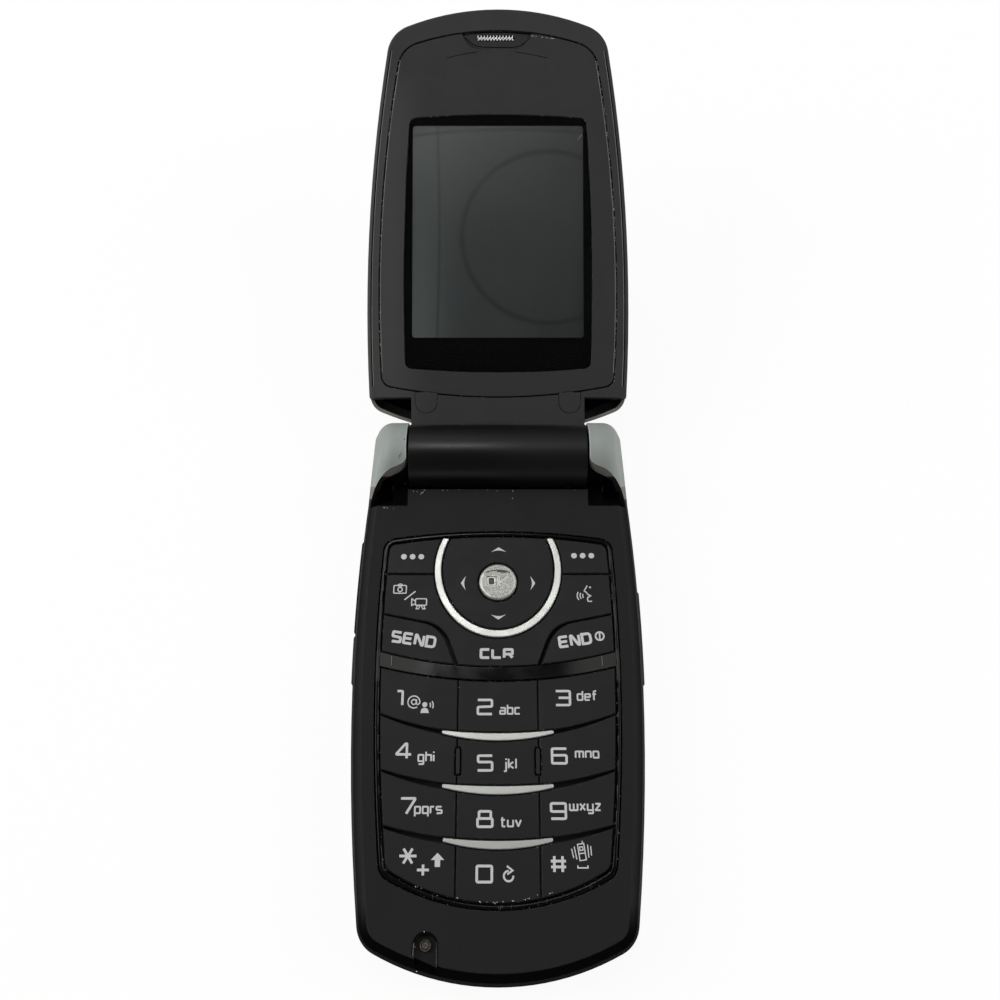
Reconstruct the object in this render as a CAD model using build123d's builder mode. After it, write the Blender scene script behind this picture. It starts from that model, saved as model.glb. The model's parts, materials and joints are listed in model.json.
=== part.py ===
"""Flip phone, open, lying on its back, built as separate pieces.

Frame: +X to the right of the keypad, +Y from the keypad's foot towards the lid, +Z out of the
keypad. The origin is on the flat back, straight below the hinge axis. Units are millimetres.
The lid's pieces are drawn on the plane LID, whose own axes are across, along and out of the lid.
"""
import os
from math import acos, atan2, cos, hypot, radians, sin, sqrt, tan

from build123d import *

os.makedirs("parts", exist_ok=True)

# ---- driving dimensions: overall --------------------------------------------------------
opening = 160.0            # angle between the closed and the open lid
base_thick = 10.0          # back to keypad face
hinge_z = 10.25
lid_thick = 8.0            # hinge axis to the lid's outer face
base_half = 24.85          # half width at the base's waist
base_length = 86.9         # hinge axis to the foot
lid_half = 24.2
lid_length = 84.4          # hinge axis to the lid's tip

# ---- base case --------------------------------------------------------------------------
seam_z = 6.0               # rear case below, front case above
roof_z = 8.8               # underside of the front case's face
case_wall = 2.0
face_bevel = 1.2           # slope between the keypad face and the side
waist_y = -37.0
hinge_half = 22.4
hinge_end = 6.2            # how far the base reaches past the hinge axis
foot_half = 21.65
foot_corner_y = -81.0
foot_round = 5.0
cover_thick = 1.0
cover_half = 18.6
cover_head = -23.8
slide_fit = 0.12
bay_half = 17.4
bay_head, bay_foot, bay_z = -25.5, -77.6, 5.1
pocket_half, pocket_head, pocket_foot, pocket_z = 20.0, -9.4, -23.0, 1.4

# ---- hinge ------------------------------------------------------------------------------
barrel_r = 5.9             # the lid's knuckle
barrel_half = 15.9
knuckle_r = 6.35           # hollow in the base round the knuckle
knuckle_half = 16.25
cap_r = 6.2                # the silver hinge caps
cap_wall = 1.3
cap_foot = (-9.4, -0.35)   # front foot of the cap's profile, from the axis
cap_lean = ((23.8, 6.0), (19.9, 17.5))   # two points of the cap's leaning outer side, as x and z
cap_round = 2.6             # on the cap's edges that lie further out than rim_half
rim_half = 20.1
cap_slope = 10.0           # lean of the cap's front edge
core_r = 4.75
core_half = 19.0
core_floor = 8.6
core_front = -9.55
notch_round = 1.2
collar_y = -3.0            # the front case ends here under the knuckle
hinge_reach = 2.4          # depth of the hinge's seats in the cores
shaft_r, shaft_fit = 1.6, 0.05
bush_r, bush_hole_r = 2.6, 1.7

# ---- keypad -----------------------------------------------------------------------------
recess_half = 20.65
recess_head, recess_head_corner, recess_head_half = -14.4, -16.0, 20.1
recess_foot, recess_foot_corner, recess_foot_half = -76.2, -71.2, 18.5
recess_foot_round, recess_head_round = 2.8, 2.4
bead = 0.85                # width of the glossy frame's rim
frame_fit = 0.22
frame_top = 10.22
cap_top, cap_bottom = 10.1, 8.65
carrier_top, carrier_bottom = 8.2, 7.6
board_top, board_bottom = 6.8, 6.0
dome_r, dome_height, dome_film = 2.0, 0.22, 0.1
stem_r, stem_fit = 1.1, 0.08
key_gap = 0.22             # between a key and the frame
half_gap = 0.1             # half the gap between two keys
column_x = 6.6
ok_centre, ok_r = (0.0, -23.84), 3.25
arc_centre, arc_a, arc_b = (0.0, -21.6), 11.0, 12.05
arc_hole_centre, arc_hole_a, arc_hole_b = (0.0, -21.35), 9.9, 11.05
arc_drop = 0.55            # frame to the arc's two ends
soft_foot = -22.4

# ---- side pieces ------------------------------------------------------------------------
side_low, side_high, side_proud, side_depth = 3.2, 5.8, 0.3, 1.2
side_fit, side_room, side_edge = 0.15, 0.4, 0.3
rocker_span = (-31.9, -14.9)
jack_cover_span = (-40.9, -32.3)
port_cover_span = (-41.0, -24.3)

# ---- lid --------------------------------------------------------------------------------
lid_waist = 29.0
lid_tip_half, lid_tip_corner = 20.2, 79.7
lid_root_half, lid_root_side, lid_root = 23.6, 9.45, 4.22
lid_root_round, lid_tip_round = 3.4, 6.0
root_gap = 7.4             # where the outer cover ends beside the knuckle
rim_root = 11.0            # where the inner case's rim ends beside the chin
lid_face, lid_seam = -0.25, -2.6
lid_wall = 1.2
chin_depth = -5.5
panel_head, panel_foot = 79.9, 11.2
panel_side, panel_rounds = ((21.2, 13.4), (21.8, 32.0), (18.0, 76.4)), (2.0, 5.0)
lens_head, lens_foot = 64.0, 15.7
lens_side, lens_round = ((17.05, 16.5), (17.35, 40.0), (16.4, 63.3)), 1.4
lens_top, lens_thick = -0.42, 0.9
slot_centre, slot_size = (-0.4, 78.8), (7.0, 1.05)
panel_gap = 0.28

# ---- planes -----------------------------------------------------------------------------
rise = radians(180.0 - opening)
LID = Plane(origin=(0, 0, hinge_z), x_dir=(1, 0, 0), z_dir=(0, -sin(rise), cos(rise)))
LID_SIDE = Plane(origin=(0, 0, hinge_z), x_dir=(0, cos(rise), sin(rise)), z_dir=(1, 0, 0))
AXIS_SIDE = Plane(origin=(0, 0, hinge_z), x_dir=(0, 1, 0), z_dir=(1, 0, 0))


def level(z):
    """The horizontal plane at height z."""
    return Plane.XY.offset(z)


def save(part, name):
    """Label a finished piece and write it."""
    part.part.label = name
    export_step(part.part, f"parts/{name}.step")


def slab(plan, low, high, mode=Mode.ADD):
    """Extrude a plan of the base from height low to height high."""
    with BuildSketch(level(low)) as base:
        add(plan)
    extrude(base.sketch, amount=high - low, mode=mode)


def lid_slab(plan, low, high, mode=Mode.ADD):
    """Extrude a plan of the lid between two heights of the lid's own frame."""
    with BuildSketch(LID.offset(low)) as base:
        add(plan)
    extrude(base.sketch, amount=high - low, mode=mode)


def block(x_span, y_span, z_span, mode=Mode.ADD):
    """A box between two x, two y and two z values."""
    centre = [sum(span) / 2 for span in (x_span, y_span, z_span)]
    size = [span[1] - span[0] for span in (x_span, y_span, z_span)]
    with Locations(tuple(centre)):
        Box(*size, mode=mode)


def pegs(radius, places, z_span, mode=Mode.ADD):
    """Upright round pegs at several x, y places between two heights."""
    with Locations([(x, y, z_span[0]) for x, y in places]):
        Cylinder(radius, z_span[1] - z_span[0], align=(Align.CENTER, Align.CENTER, Align.MIN), mode=mode)


def rod(radius, x_span, plane=AXIS_SIDE, centre=(0, 0), mode=Mode.ADD):
    """A round bar along X between two x values, centred on the plane's own coordinates."""
    with BuildSketch(plane.offset(x_span[0])) as end:
        with Locations(centre):
            Circle(radius)
    extrude(end.sketch, amount=x_span[1] - x_span[0], mode=mode)


def outline(foot, waist, head, foot_y, head_y, foot_r, head_r, grow=0.0):
    """A closed plan with bowed sides, arched or straight ends and round corners.

    foot, waist and head are the right side's points; foot_y and head_y are the ends' middles.
    grow moves the whole outline outwards.
    """
    foot_x, waist_x, head_x = foot[0] + grow, waist[0] + grow, head[0] + grow
    foot_side, head_side = foot[1] - grow, head[1] + grow
    with BuildSketch() as plan:
        with BuildLine():
            ThreePointArc((-head_x, head_side), (-waist_x, waist[1]), (-foot_x, foot_side))
            if foot_y == foot[1]:
                Line((-foot_x, foot_side), (foot_x, foot_side))
            else:
                ThreePointArc((-foot_x, foot_side), (0, foot_y - grow), (foot_x, foot_side))
            ThreePointArc((foot_x, foot_side), (waist_x, waist[1]), (head_x, head_side))
            if head_y == head[1]:
                Line((head_x, head_side), (-head_x, head_side))
            else:
                ThreePointArc((head_x, head_side), (0, head_y + grow), (-head_x, head_side))
        make_face()
        if foot_r:
            fillet(plan.vertices().group_by(Axis.Y)[0], max(foot_r + grow, 0.3))
        if head_r:
            fillet(plan.vertices().group_by(Axis.Y)[-1], max(head_r + grow, 0.3))
    return plan.sketch


def base_plan(grow=0.0, head_round=2.0):
    """The base's outline."""
    return outline((foot_half, foot_corner_y), (base_half, waist_y), (hinge_half, hinge_end),
                   -base_length, hinge_end, foot_round, head_round, grow)


def recess_plan(grow=0.0):
    """The keypad opening's outline."""
    return outline((recess_foot_half, recess_foot_corner), (recess_half, waist_y),
                   (recess_head_half, recess_head_corner), recess_foot, recess_head,
                   recess_foot_round, recess_head_round, grow)


def lid_plan(grow=0.0):
    """The lid's outline."""
    return outline((lid_root_half, lid_root_side), (lid_half, lid_waist), (lid_tip_half, lid_tip_corner),
                   lid_root, lid_length, lid_root_round, lid_tip_round, grow)


def panel_plan(grow=0.0):
    """The outline of the panel round the screen."""
    return outline(*panel_side, panel_foot, panel_head, *panel_rounds, grow)


def lens_plan(grow=0.0):
    """The outline of the screen's window."""
    return outline(*lens_side, lens_foot, lens_head, lens_round, lens_round, grow)


# ---- rear case --------------------------------------------------------------------------
def side_strip(span, inner, outer):
    """A plan strip that follows the base's side between two y values, on both sides."""
    with BuildSketch() as strip:
        add(base_plan(outer))
        add(base_plan(inner), mode=Mode.SUBTRACT)
        with Locations((0, sum(span) / 2)):
            Rectangle(4 * base_half, span[1] - span[0], mode=Mode.INTERSECT)
    return strip.sketch


def one_side(plan, side):
    """The part of a plan on one side: -1 left, 1 right."""
    with BuildSketch() as half:
        add(plan)
        with Locations((side * base_half, -40)):
            Rectangle(2 * base_half - 1, 200, mode=Mode.INTERSECT)
    return half.sketch


with BuildSketch() as cover_plan:
    add(base_plan())
    with Locations((0, (cover_head - 100) / 2)):
        Rectangle(2 * cover_half, cover_head + 100, mode=Mode.INTERSECT)
    fillet(cover_plan.vertices().group_by(Axis.Y)[-1], 3.0)
with BuildSketch() as cover_seat_plan:
    with Locations((0, (cover_head + slide_fit - 100) / 2)):
        Rectangle(2 * (cover_half + slide_fit), cover_head + slide_fit + 100)
    fillet(cover_seat_plan.vertices().group_by(Axis.Y)[-1], 3.0)

with BuildPart() as rear_blank:
    with BuildSketch(level(seam_z)):
        add(base_plan())
    extrude(amount=-seam_z, taper=7)
    fillet(rear_blank.faces().sort_by(Axis.Z)[0].edges(), 2.0)

tongue_half, tongue_reach, tongue_low, tongue_high = 8.0, 1.6, 0.5, 1.0
screw_places = [(-18.6, -5.2), (18.6, -5.2), (-15.2, -79.6), (15.2, -79.6)]
screw_head_r, screw_head_z, screw_r, screw_tip, boss_r = 1.5, (1.15, 1.7), 0.7, 8.0, 1.8
front_screw_r, front_screw_depth, front_head_r, front_head = 0.5, 1.4, 0.85, 0.4
antenna_x, antenna_y, antenna_z = (-10.5, 10.5), (-83.4, -79.4), (2.0, 5.9)
speaker_centre, speaker_r, speaker_z = (-12.5, -16.2), 5.2, (pocket_z, 4.2)
vent_size, vent_pitch = (6.0, 0.8, 4.0), 2.0
motor_y, motor_r, motor_x = -16.2, 1.9, (5.0, 13.0)
motor_z = pocket_z + motor_r
weight_x, weight_r, spindle_r = (13.6, 17.4), 1.75, 0.3
jack_x, jack_y, jack_z, jack_r = (-22.3, -18.0), (-39.4, -33.8), (2.6, 5.9), 1.25
port_x, port_y, port_z = (18.2, 22.3), (-39.8, -25.5), (3.2, 5.9)
room = 0.15

with BuildPart() as rear_case:
    add(rear_blank.part)
    slab(cover_seat_plan.sketch, -1, cover_thick + 0.08, Mode.SUBTRACT)
    block((-bay_half, bay_half), (bay_foot, bay_head), (0, bay_z), Mode.SUBTRACT)
    block((-pocket_half, pocket_half), (pocket_foot, pocket_head), (pocket_z, seam_z + 1),
          Mode.SUBTRACT)
    block((antenna_x[0] - room, antenna_x[1] + room), (antenna_y[0] - room, antenna_y[1] + room),
          (antenna_z[0], seam_z + 1), Mode.SUBTRACT)
    block((-tongue_half - room, tongue_half + room), (cover_head - 1, cover_head + tongue_reach + room),
          (tongue_low - 0.06, tongue_high + 0.08), Mode.SUBTRACT)
    rod(knuckle_r, (-knuckle_half, knuckle_half), mode=Mode.SUBTRACT)
    for side, span in ((-1, rocker_span), (-1, jack_cover_span), (1, port_cover_span)):
        wide = (span[0] - side_fit, span[1] + side_fit)
        slab(one_side(side_strip(wide, -side_depth - side_room, 2), side),
             side_low - side_fit, side_high + side_fit, Mode.SUBTRACT)
    block((jack_x[0] - 2, jack_x[1] + room), (jack_y[0] - room, jack_y[1] + room),
          (jack_z[0], seam_z), Mode.SUBTRACT)
    block((port_x[0] - room, port_x[1] + 2), (port_y[0] - room, port_y[1] + room),
          (port_z[0], seam_z), Mode.SUBTRACT)
    pegs(screw_head_r + room, screw_places, (0, screw_head_z[1]), Mode.SUBTRACT)
    pegs(screw_r + room, screw_places, (0, seam_z + 1), Mode.SUBTRACT)
    with Locations([(speaker_centre[0], speaker_centre[1] + step * vent_pitch, 0) for step in (-1, 0, 1)]):
        Box(*vent_size, mode=Mode.SUBTRACT)
save(rear_case, "rear_case")

# ---- battery cover and battery ----------------------------------------------------------
grip_head, grip_pitch, grip_count, grip_size = -31.0, 1.6, 5, (12.0, 0.6, 0.3)
battery_half, battery_y, battery_z = 17.0, (-77.2, -26.6), (cover_thick + 0.05, 5.0)
contact_places, contact_half, contact_y, contact_z = (-3.0, 0.0, 3.0), 0.5, (-26.5, -25.5), (1.6, 4.6)

with BuildPart() as battery_cover:
    add(rear_blank.part)
    slab(cover_plan.sketch, -1, cover_thick, Mode.INTERSECT)
    block((-tongue_half, tongue_half), (cover_head - 2, cover_head + tongue_reach),
          (tongue_low, tongue_high))
    with Locations([(0, grip_head - grip_pitch * step, 0) for step in range(grip_count)]):
        Box(*grip_size, mode=Mode.SUBTRACT)
save(battery_cover, "battery_cover")

with BuildPart() as battery:
    block((-battery_half, battery_half), battery_y, battery_z)
    fillet(battery.edges().filter_by(Axis.Z), 1.2)
    chamfer(battery.faces().sort_by(Axis.Z)[0].edges(), 0.4)
save(battery, "battery")

with BuildPart() as battery_contacts:
    for x in contact_places:
        block((x - contact_half, x + contact_half), contact_y, contact_z)
save(battery_contacts, "battery_contacts")

# ---- front case -------------------------------------------------------------------------
pocket_x, pocket_y, pocket_r, pocket_floor, pocket_reach = -10.95, -80.95, 1.65, 9.0, 5.0


def hinge_notch(side):
    """The plan of the open corner under a hinge cap."""
    inner, outer = knuckle_half + 0.1, base_half + 2
    points = [(inner, hinge_end + 1), (inner, core_front), (outer, core_front), (outer, hinge_end + 1)]
    with BuildSketch() as notch:
        with BuildLine():
            Polyline([(side * x, y) for x, y in points], close=True)
        make_face()
        corner = notch.vertices().sort_by(lambda vertex: abs(vertex.X) + vertex.Y)[0]
        fillet(corner, notch_round)
    return notch.sketch


with BuildPart() as front_case:
    with BuildSketch(level(seam_z)):
        add(base_plan(head_round=4.5))
    extrude(amount=base_thick - seam_z, taper=15)
    chamfer(front_case.faces().sort_by(Axis.Z)[-1].edges(), face_bevel)
    slab(base_plan(-case_wall), seam_z, roof_z, Mode.SUBTRACT)
    slab(recess_plan(), seam_z, base_thick + 1, Mode.SUBTRACT)
    # the hinge end: bosses for the screws, cores for the caps, a hollow for the knuckle
    block((-knuckle_half - 1, knuckle_half + 1), (core_front - 1, collar_y), (seam_z, roof_z))
    for side in (-1, 1):
        slab(hinge_notch(side), seam_z, base_thick + 1, Mode.SUBTRACT)
        inner, outer = sorted((side * knuckle_half, side * core_half))
        rod(core_r, (inner, outer))
        block((inner, outer), (core_front - case_wall, core_r), (seam_z, core_floor))
    rod(knuckle_r, (-knuckle_half, knuckle_half), mode=Mode.SUBTRACT)
    block((-knuckle_half - 0.1, knuckle_half + 0.1), (collar_y, hinge_end), (seam_z, base_thick + 1),
          Mode.SUBTRACT)
    pegs(boss_r, screw_places[2:], (seam_z, roof_z))
    pegs(screw_r, screw_places, (seam_z, screw_tip + 0.1), Mode.SUBTRACT)
    # the hinge's seats in the two cores
    rod(shaft_r, (knuckle_half, knuckle_half + hinge_reach), mode=Mode.SUBTRACT)
    rod(bush_r, (-knuckle_half - hinge_reach, -knuckle_half), mode=Mode.SUBTRACT)
    block((-base_half, base_half), (core_front - case_wall - 1, core_r + 1), (0, seam_z), Mode.SUBTRACT)
    # the screw pocket near the foot, open at the front edge
    pegs(pocket_r, [(pocket_x, pocket_y)], (board_top, roof_z))
    with BuildSketch(level(pocket_floor)):
        with Locations((pocket_x, pocket_y)):
            Circle(pocket_r)
        with Locations((pocket_x, pocket_y - pocket_reach / 2)):
            Rectangle(2 * pocket_r, pocket_reach)
    extrude(amount=2, mode=Mode.SUBTRACT)
    with Locations((pocket_x, pocket_y, pocket_floor)):
        Cylinder(front_screw_r, 2 * front_screw_depth, mode=Mode.SUBTRACT)
save(front_case, "front_case")

# ---- hinge caps -------------------------------------------------------------------------
def cap_touch(radius, foot):
    """Where the line from the cap's front foot touches its round top, from the axis."""
    turn = atan2(foot[1], foot[0]) - acos(radius / hypot(*foot))
    return radius * cos(turn), radius * sin(turn)


def cap_profile(shrink):
    """Side profile of a hinge cap, or its hollow when shrunk by a wall."""
    radius = cap_r - shrink
    foot = (cap_foot[0] + shrink, cap_foot[1] - shrink)
    low = seam_z - hinge_z - (1 if shrink else 0)
    touch = cap_touch(radius, foot)
    with BuildSketch() as profile:
        with BuildLine():
            Line((radius, low), (radius, 0))
            ThreePointArc((radius, 0), (0, radius), touch)
            Line(touch, foot)
            Line(foot, (foot[0], low))
            Line((foot[0], low), (radius, low))
        make_face()
    return profile.sketch


def cap_limit(grow):
    """The base's outline with sharp corners at the hinge end."""
    return outline((foot_half, foot_corner_y), (base_half, waist_y), (hinge_half, hinge_end),
                   -base_length, hinge_end, 0, 0, grow)


def cap_body(side, shrink):
    """A hinge cap as a solid, or its hollow when shrunk by a wall."""
    with BuildPart() as body:
        with BuildSketch(AXIS_SIDE.offset(side * (knuckle_half - (1 if shrink else 0)))):
            add(cap_profile(shrink))
        extrude(amount=side * 10)
        slab(cap_limit(-shrink), 0, 20, Mode.INTERSECT)
        (low_x, low_z), (high_x, high_z) = cap_lean
        points = [(low_x - shrink, low_z), (high_x - shrink, high_z), (30, high_z), (30, low_z)]
        with BuildSketch(Plane.XZ.offset(-10)):
            with BuildLine():
                Polyline([(side * x, z) for x, z in points], close=True)
            make_face()
        extrude(amount=30, mode=Mode.SUBTRACT)
    return body


cap_edge = [(16.2, -2.2), (16.55, -3.2), (17.4, -3.75), (18.6, -4.15), (20.8, -5.1), (22.4, -6.3),
            (23.4, -8.6)]


def cap_skin(y):
    """Height of the cap's skin at a distance in front of the axis."""
    touch = cap_touch(cap_r, cap_foot)
    if y > touch[0]:
        return hinge_z + sqrt(cap_r ** 2 - y ** 2)
    steep = (touch[1] - cap_foot[1]) / (touch[0] - cap_foot[0])
    return hinge_z + touch[1] + steep * (y - touch[0])


def cut_cap_front(side):
    """Cut away what lies in front of the cap's S-shaped edge, along a leaning direction."""
    start_z, lean = seam_z - 1, radians(cap_slope)
    edge = [(side * x, y - tan(lean) * (cap_skin(y) - start_z)) for x, y in cap_edge]
    with BuildSketch(level(start_z)) as front:
        with BuildLine():
            Spline(edge)
            Polyline(edge[-1], (side * 30, edge[-1][1]), (side * 30, -40), (edge[0][0] - side, -40),
                     (edge[0][0] - side, edge[0][1]), edge[0])
        make_face()
    extrude(front.sketch, amount=20, dir=(0, sin(lean), cos(lean)), mode=Mode.SUBTRACT)


hinge_caps = []
for side in (-1, 1):
    with BuildPart() as cap:
        add(cap_body(side, 0).part)
        middles = [(e, e.center()) for e in cap.edges()]
        rim = [e for e, c in middles if abs(c.X) > rim_half and cap_foot[0] + 0.5 < c.Y
               and hypot(c.Y, c.Z - hinge_z) > cap_r - 0.5 and c.Z > seam_z + 0.1]
        fillet(rim, cap_round)
        add(cap_body(side, cap_wall).part, mode=Mode.SUBTRACT)
        cut_cap_front(side)
        with BuildSketch(level(0)) as opening_plan:
            add(cap_limit(-cap_wall))
            with Locations((0, -23)):
                Rectangle(60, 40, mode=Mode.INTERSECT)
        extrude(opening_plan.sketch, amount=core_floor + 0.6, mode=Mode.SUBTRACT)
    hinge_caps.append(cap)
with BuildPart() as caps:
    for cap in hinge_caps:
        add(cap.part)
save(caps, "hinge_caps")

# ---- keypad frame, carrier, switches and board --------------------------------------------
def row_line(middle, bow):
    """End points and middle of a sagging line across the keypad."""
    reach = 24.0
    return (-reach, middle + bow * reach ** 2), (0, middle), (reach, middle + bow * reach ** 2)


def band(upper, lower):
    """The plan between two sagging lines."""
    with BuildSketch() as strip:
        with BuildLine():
            ThreePointArc(*row_line(*upper))
            ThreePointArc(*row_line(*lower))
            Line(row_line(*upper)[0], row_line(*lower)[0])
            Line(row_line(*upper)[2], row_line(*lower)[2])
        make_face()
    return strip.sketch


far_up, far_down = (0.0, 0.002), (-95.0, 0.002)
bar_head, bar_foot = (-38.85, 0.0068), (-40.95, 0.0062)
row_feet = [(-49.91, 0.0092), (-58.15, 0.00785), (-66.26, 0.0072)]
row_heads = [(-50.46, 0.01073), (-58.97, 0.01009), (-67.03, 0.00903)]
strip_halves = [9.1, 8.9, 8.6]
strip_tips = [-49.12, -57.55, -65.65]
strip_tops = [-49.6, -57.9, -66.12]
strip_feet = [-50.8, -59.2, -67.38]
strip_ends = [0.56, 0.6, 0.6]   # height of each strip's ends

window = recess_plan(-bead)
with BuildPart() as keypad_frame:
    slab(recess_plan(-frame_fit), carrier_top, frame_top)
    slab(window, carrier_top, frame_top, Mode.SUBTRACT)
    fillet(keypad_frame.faces().sort_by(Axis.Z)[-1].edges(), 0.28)
    slab(recess_plan(0.8), carrier_top, roof_z - 0.05)
    slab(window, carrier_top - 1, roof_z, Mode.SUBTRACT)
    with BuildSketch(level(carrier_top)):
        add(band(bar_head, bar_foot))
        add(window, mode=Mode.INTERSECT)
    extrude(amount=frame_top - 0.06 - carrier_top)
save(keypad_frame, "keypad_frame")


def arc_outer(grow):
    """The filled plan of the arc round the navigation key."""
    with BuildSketch() as plan:
        with Locations(arc_centre):
            Ellipse(arc_a + grow, arc_b + grow)
    return plan.sketch


def arc_inner(grow):
    """The filled plan inside that arc, higher up than the arc's own, so that its ends taper."""
    with BuildSketch() as plan:
        with Locations(arc_hole_centre):
            Ellipse(arc_hole_a + grow, arc_hole_b + grow)
    return plan.sketch


def strip_plan(row, grow=0.0):
    """The crescent of a silver strip."""
    tip_y, top_y, foot_y = strip_tips[row], strip_tops[row], strip_feet[row]
    end_y, half = tip_y - strip_ends[row], strip_halves[row] + grow
    with BuildSketch() as strip:
        with BuildLine():
            ThreePointArc((-half, tip_y + grow), (0, top_y + grow), (half, tip_y + grow))
            Line((half, tip_y + grow), (half, end_y - grow))
            ThreePointArc((half, end_y - grow), (0, foot_y - grow), (-half, end_y - grow))
            Line((-half, end_y - grow), (-half, tip_y + grow))
        make_face()
        if not grow:
            fillet(strip.vertices(), 0.22)
    return strip.sketch


rib_x, rib_y, rib_size = 6.45, -54.05, (0.55, 4.0)
with BuildSketch() as rib_plan:
    with Locations((-rib_x, rib_y), (rib_x, rib_y)):
        RectangleRounded(*rib_size, 0.2)
with BuildSketch() as rib_room:
    with Locations((-rib_x, rib_y), (rib_x, rib_y)):
        Rectangle(rib_size[0] + 0.4, rib_size[1] + 0.4)

with BuildPart() as row_strips:
    for row in range(3):
        slab(strip_plan(row), carrier_top, frame_top + 0.02)
    chamfer(row_strips.faces().group_by(Axis.Z)[-1].edges(), 0.1)
save(row_strips, "row_strips")

with BuildPart() as nav_arc_trim:
    with BuildSketch() as arc_plan:
        add(arc_outer(0))
        add(arc_inner(0), mode=Mode.SUBTRACT)
        with Locations((0, recess_head - bead - arc_drop - 30)):
            Rectangle(60, 60, mode=Mode.INTERSECT)
        fillet(arc_plan.vertices(), 0.2)
    slab(arc_plan.sketch, carrier_top, frame_top + 0.02)
    chamfer(nav_arc_trim.faces().sort_by(Axis.Z)[-1].edges(), 0.12)
save(nav_arc_trim, "nav_arc_trim")


# ---- keys -------------------------------------------------------------------------------
def cell(*plans, cuts=()):
    """The plan that several plans share, less the cuts."""
    with BuildSketch() as shared:
        add(recess_plan(-bead - key_gap))
        for plan in plans:
            add(plan, mode=Mode.INTERSECT)
        for plan in cuts:
            add(plan, mode=Mode.SUBTRACT)
    return shared.sketch


def column(low, high):
    """The plan between two x values."""
    with BuildSketch() as strip:
        with Locations(((low + high) / 2, -45)):
            Rectangle(high - low, 90)
    return strip.sketch


def span_y(low, high):
    """The plan between two y values."""
    with BuildSketch() as strip:
        with Locations((0, (low + high) / 2)):
            Rectangle(60, high - low)
    return strip.sketch


def make_key(plan, stems, edge=0.18):
    """A key: a cap with softened top edges, standing on one or more stems."""
    with BuildPart() as key:
        slab(plan, cap_bottom, cap_top)
        chamfer(key.faces().sort_by(Axis.Z)[-1].edges(), edge)
        with BuildSketch(level(carrier_bottom)) as feet:
            with Locations(*stems):
                Circle(stem_r)
        extrude(feet.sketch, amount=cap_bottom - carrier_bottom)
    return key


g = half_gap
key_names = ["one", "two", "three", "four", "five", "six", "seven", "eight", "nine",
             "star", "zero", "hash"]
columns = [(-30, -column_x - g), (-column_x + g, column_x - g), (column_x + g, 30)]
heads = [(bar_foot[0] - key_gap, bar_foot[1])] + [(y - g, bow) for y, bow in row_heads]
feet = [(y + g, bow) for y, bow in row_feet] + [far_down]
key_plans, key_stems = {}, {}
for index, name in enumerate(key_names):
    row, place = divmod(index, 3)
    cuts = [strip_plan(r, 0.15) for r in range(3)] + [rib_room.sketch]
    key_plans[name] = cell(band(heads[row], feet[row]), column(*columns[place]), cuts=cuts)
    middle = key_plans[name].faces()[0].center(CenterOf.MASS)
    key_stems[name] = [(round(middle.X, 1), round(middle.Y, 1))]

arc_outside = arc_outer(key_gap)
arc_inside = arc_inner(-key_gap)
call_head, call_bend, call_foot, call_far = (-21.5, -29.2), (-9.3, -31.6), (-6.3, -39.5), (-21.5, -41.0)
call_round, call_flank = 5.4, 0.5


def call_corner(side, shift, flank=0.0):
    """The plan of a call key's corner, its edges moved out by a shift and its flank by more."""
    points = [call_head, (call_bend[0] + flank, call_bend[1]), (call_foot[0] + flank, call_foot[1]), call_far]
    with BuildSketch() as corner:
        with BuildLine():
            Polyline([(-side * x, y) for x, y in points], close=True)
        make_face()
        offset(amount=shift, kind=Kind.INTERSECTION)
        bend = corner.vertices().sort_by(lambda vertex: abs(abs(vertex.X) + call_bend[0])
                                         + abs(vertex.Y - call_bend[1]))[0]
        fillet(bend, call_round)
    return corner.sketch


nav_cluster = band(far_up, (bar_head[0] + key_gap, bar_head[1]))
function_cuts = [call_corner(-1, g), call_corner(1, g), arc_outside]
key_plans["soft_left"] = cell(column(-30, 0), span_y(soft_foot + g, 0), cuts=[arc_outside])
key_plans["soft_right"] = cell(column(0, 30), span_y(soft_foot + g, 0), cuts=[arc_outside])
key_plans["send"] = cell(nav_cluster, call_corner(-1, -g, -call_flank))
key_plans["end"] = cell(nav_cluster, call_corner(1, -g, -call_flank))
key_plans["function"] = cell(nav_cluster, span_y(-60, soft_foot - g), cuts=function_cuts)
key_stems["soft_left"], key_stems["soft_right"] = [(-15.0, -19.2)], [(15.0, -19.2)]
key_stems["send"], key_stems["end"] = [(-14.0, -34.2)], [(14.0, -34.2)]
key_stems["function"] = [(-15.2, -26.4), (15.2, -26.4), (0.0, -36.2)]
for name in key_plans:
    save(make_key(key_plans[name], key_stems[name]), f"key_{name}")

# the navigation ring rocks on a pad; the round centre key passes through both
nav_top, nav_bottom = 10.0, 8.88
pad_top, pad_bottom, ridge = 8.72, 8.36, 0.15
pad_r, pad_hole_r = 4.6, 1.5
ok_top, ok_bottom = 10.25, 9.15
pad_y = ok_centre[1]
with BuildSketch() as nav_plan:
    add(cell(arc_inside))
    with Locations(ok_centre):
        Circle(ok_r + 0.25, mode=Mode.SUBTRACT)
nav_feet = [(0, pad_y + 6.2), (0, pad_y - 6.2), (-7.0, pad_y), (7.0, pad_y)]
with BuildPart() as nav_ring:
    slab(nav_plan.sketch, nav_bottom, nav_top)
    chamfer(nav_ring.faces().sort_by(Axis.Z)[-1].edges(), 0.2)

with BuildPart() as nav_ring_feet:
    add(nav_ring.part)
    with BuildSketch(level(carrier_bottom)):
        with Locations(*nav_feet):
            Circle(stem_r)
    extrude(amount=nav_bottom - carrier_bottom)
    for x_span in ((-4.5, -3.55), (3.55, 4.5)):
        block(x_span, (pad_y - ridge, pad_y + ridge), (pad_top, nav_bottom))
save(nav_ring_feet, "nav_ring")

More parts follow.
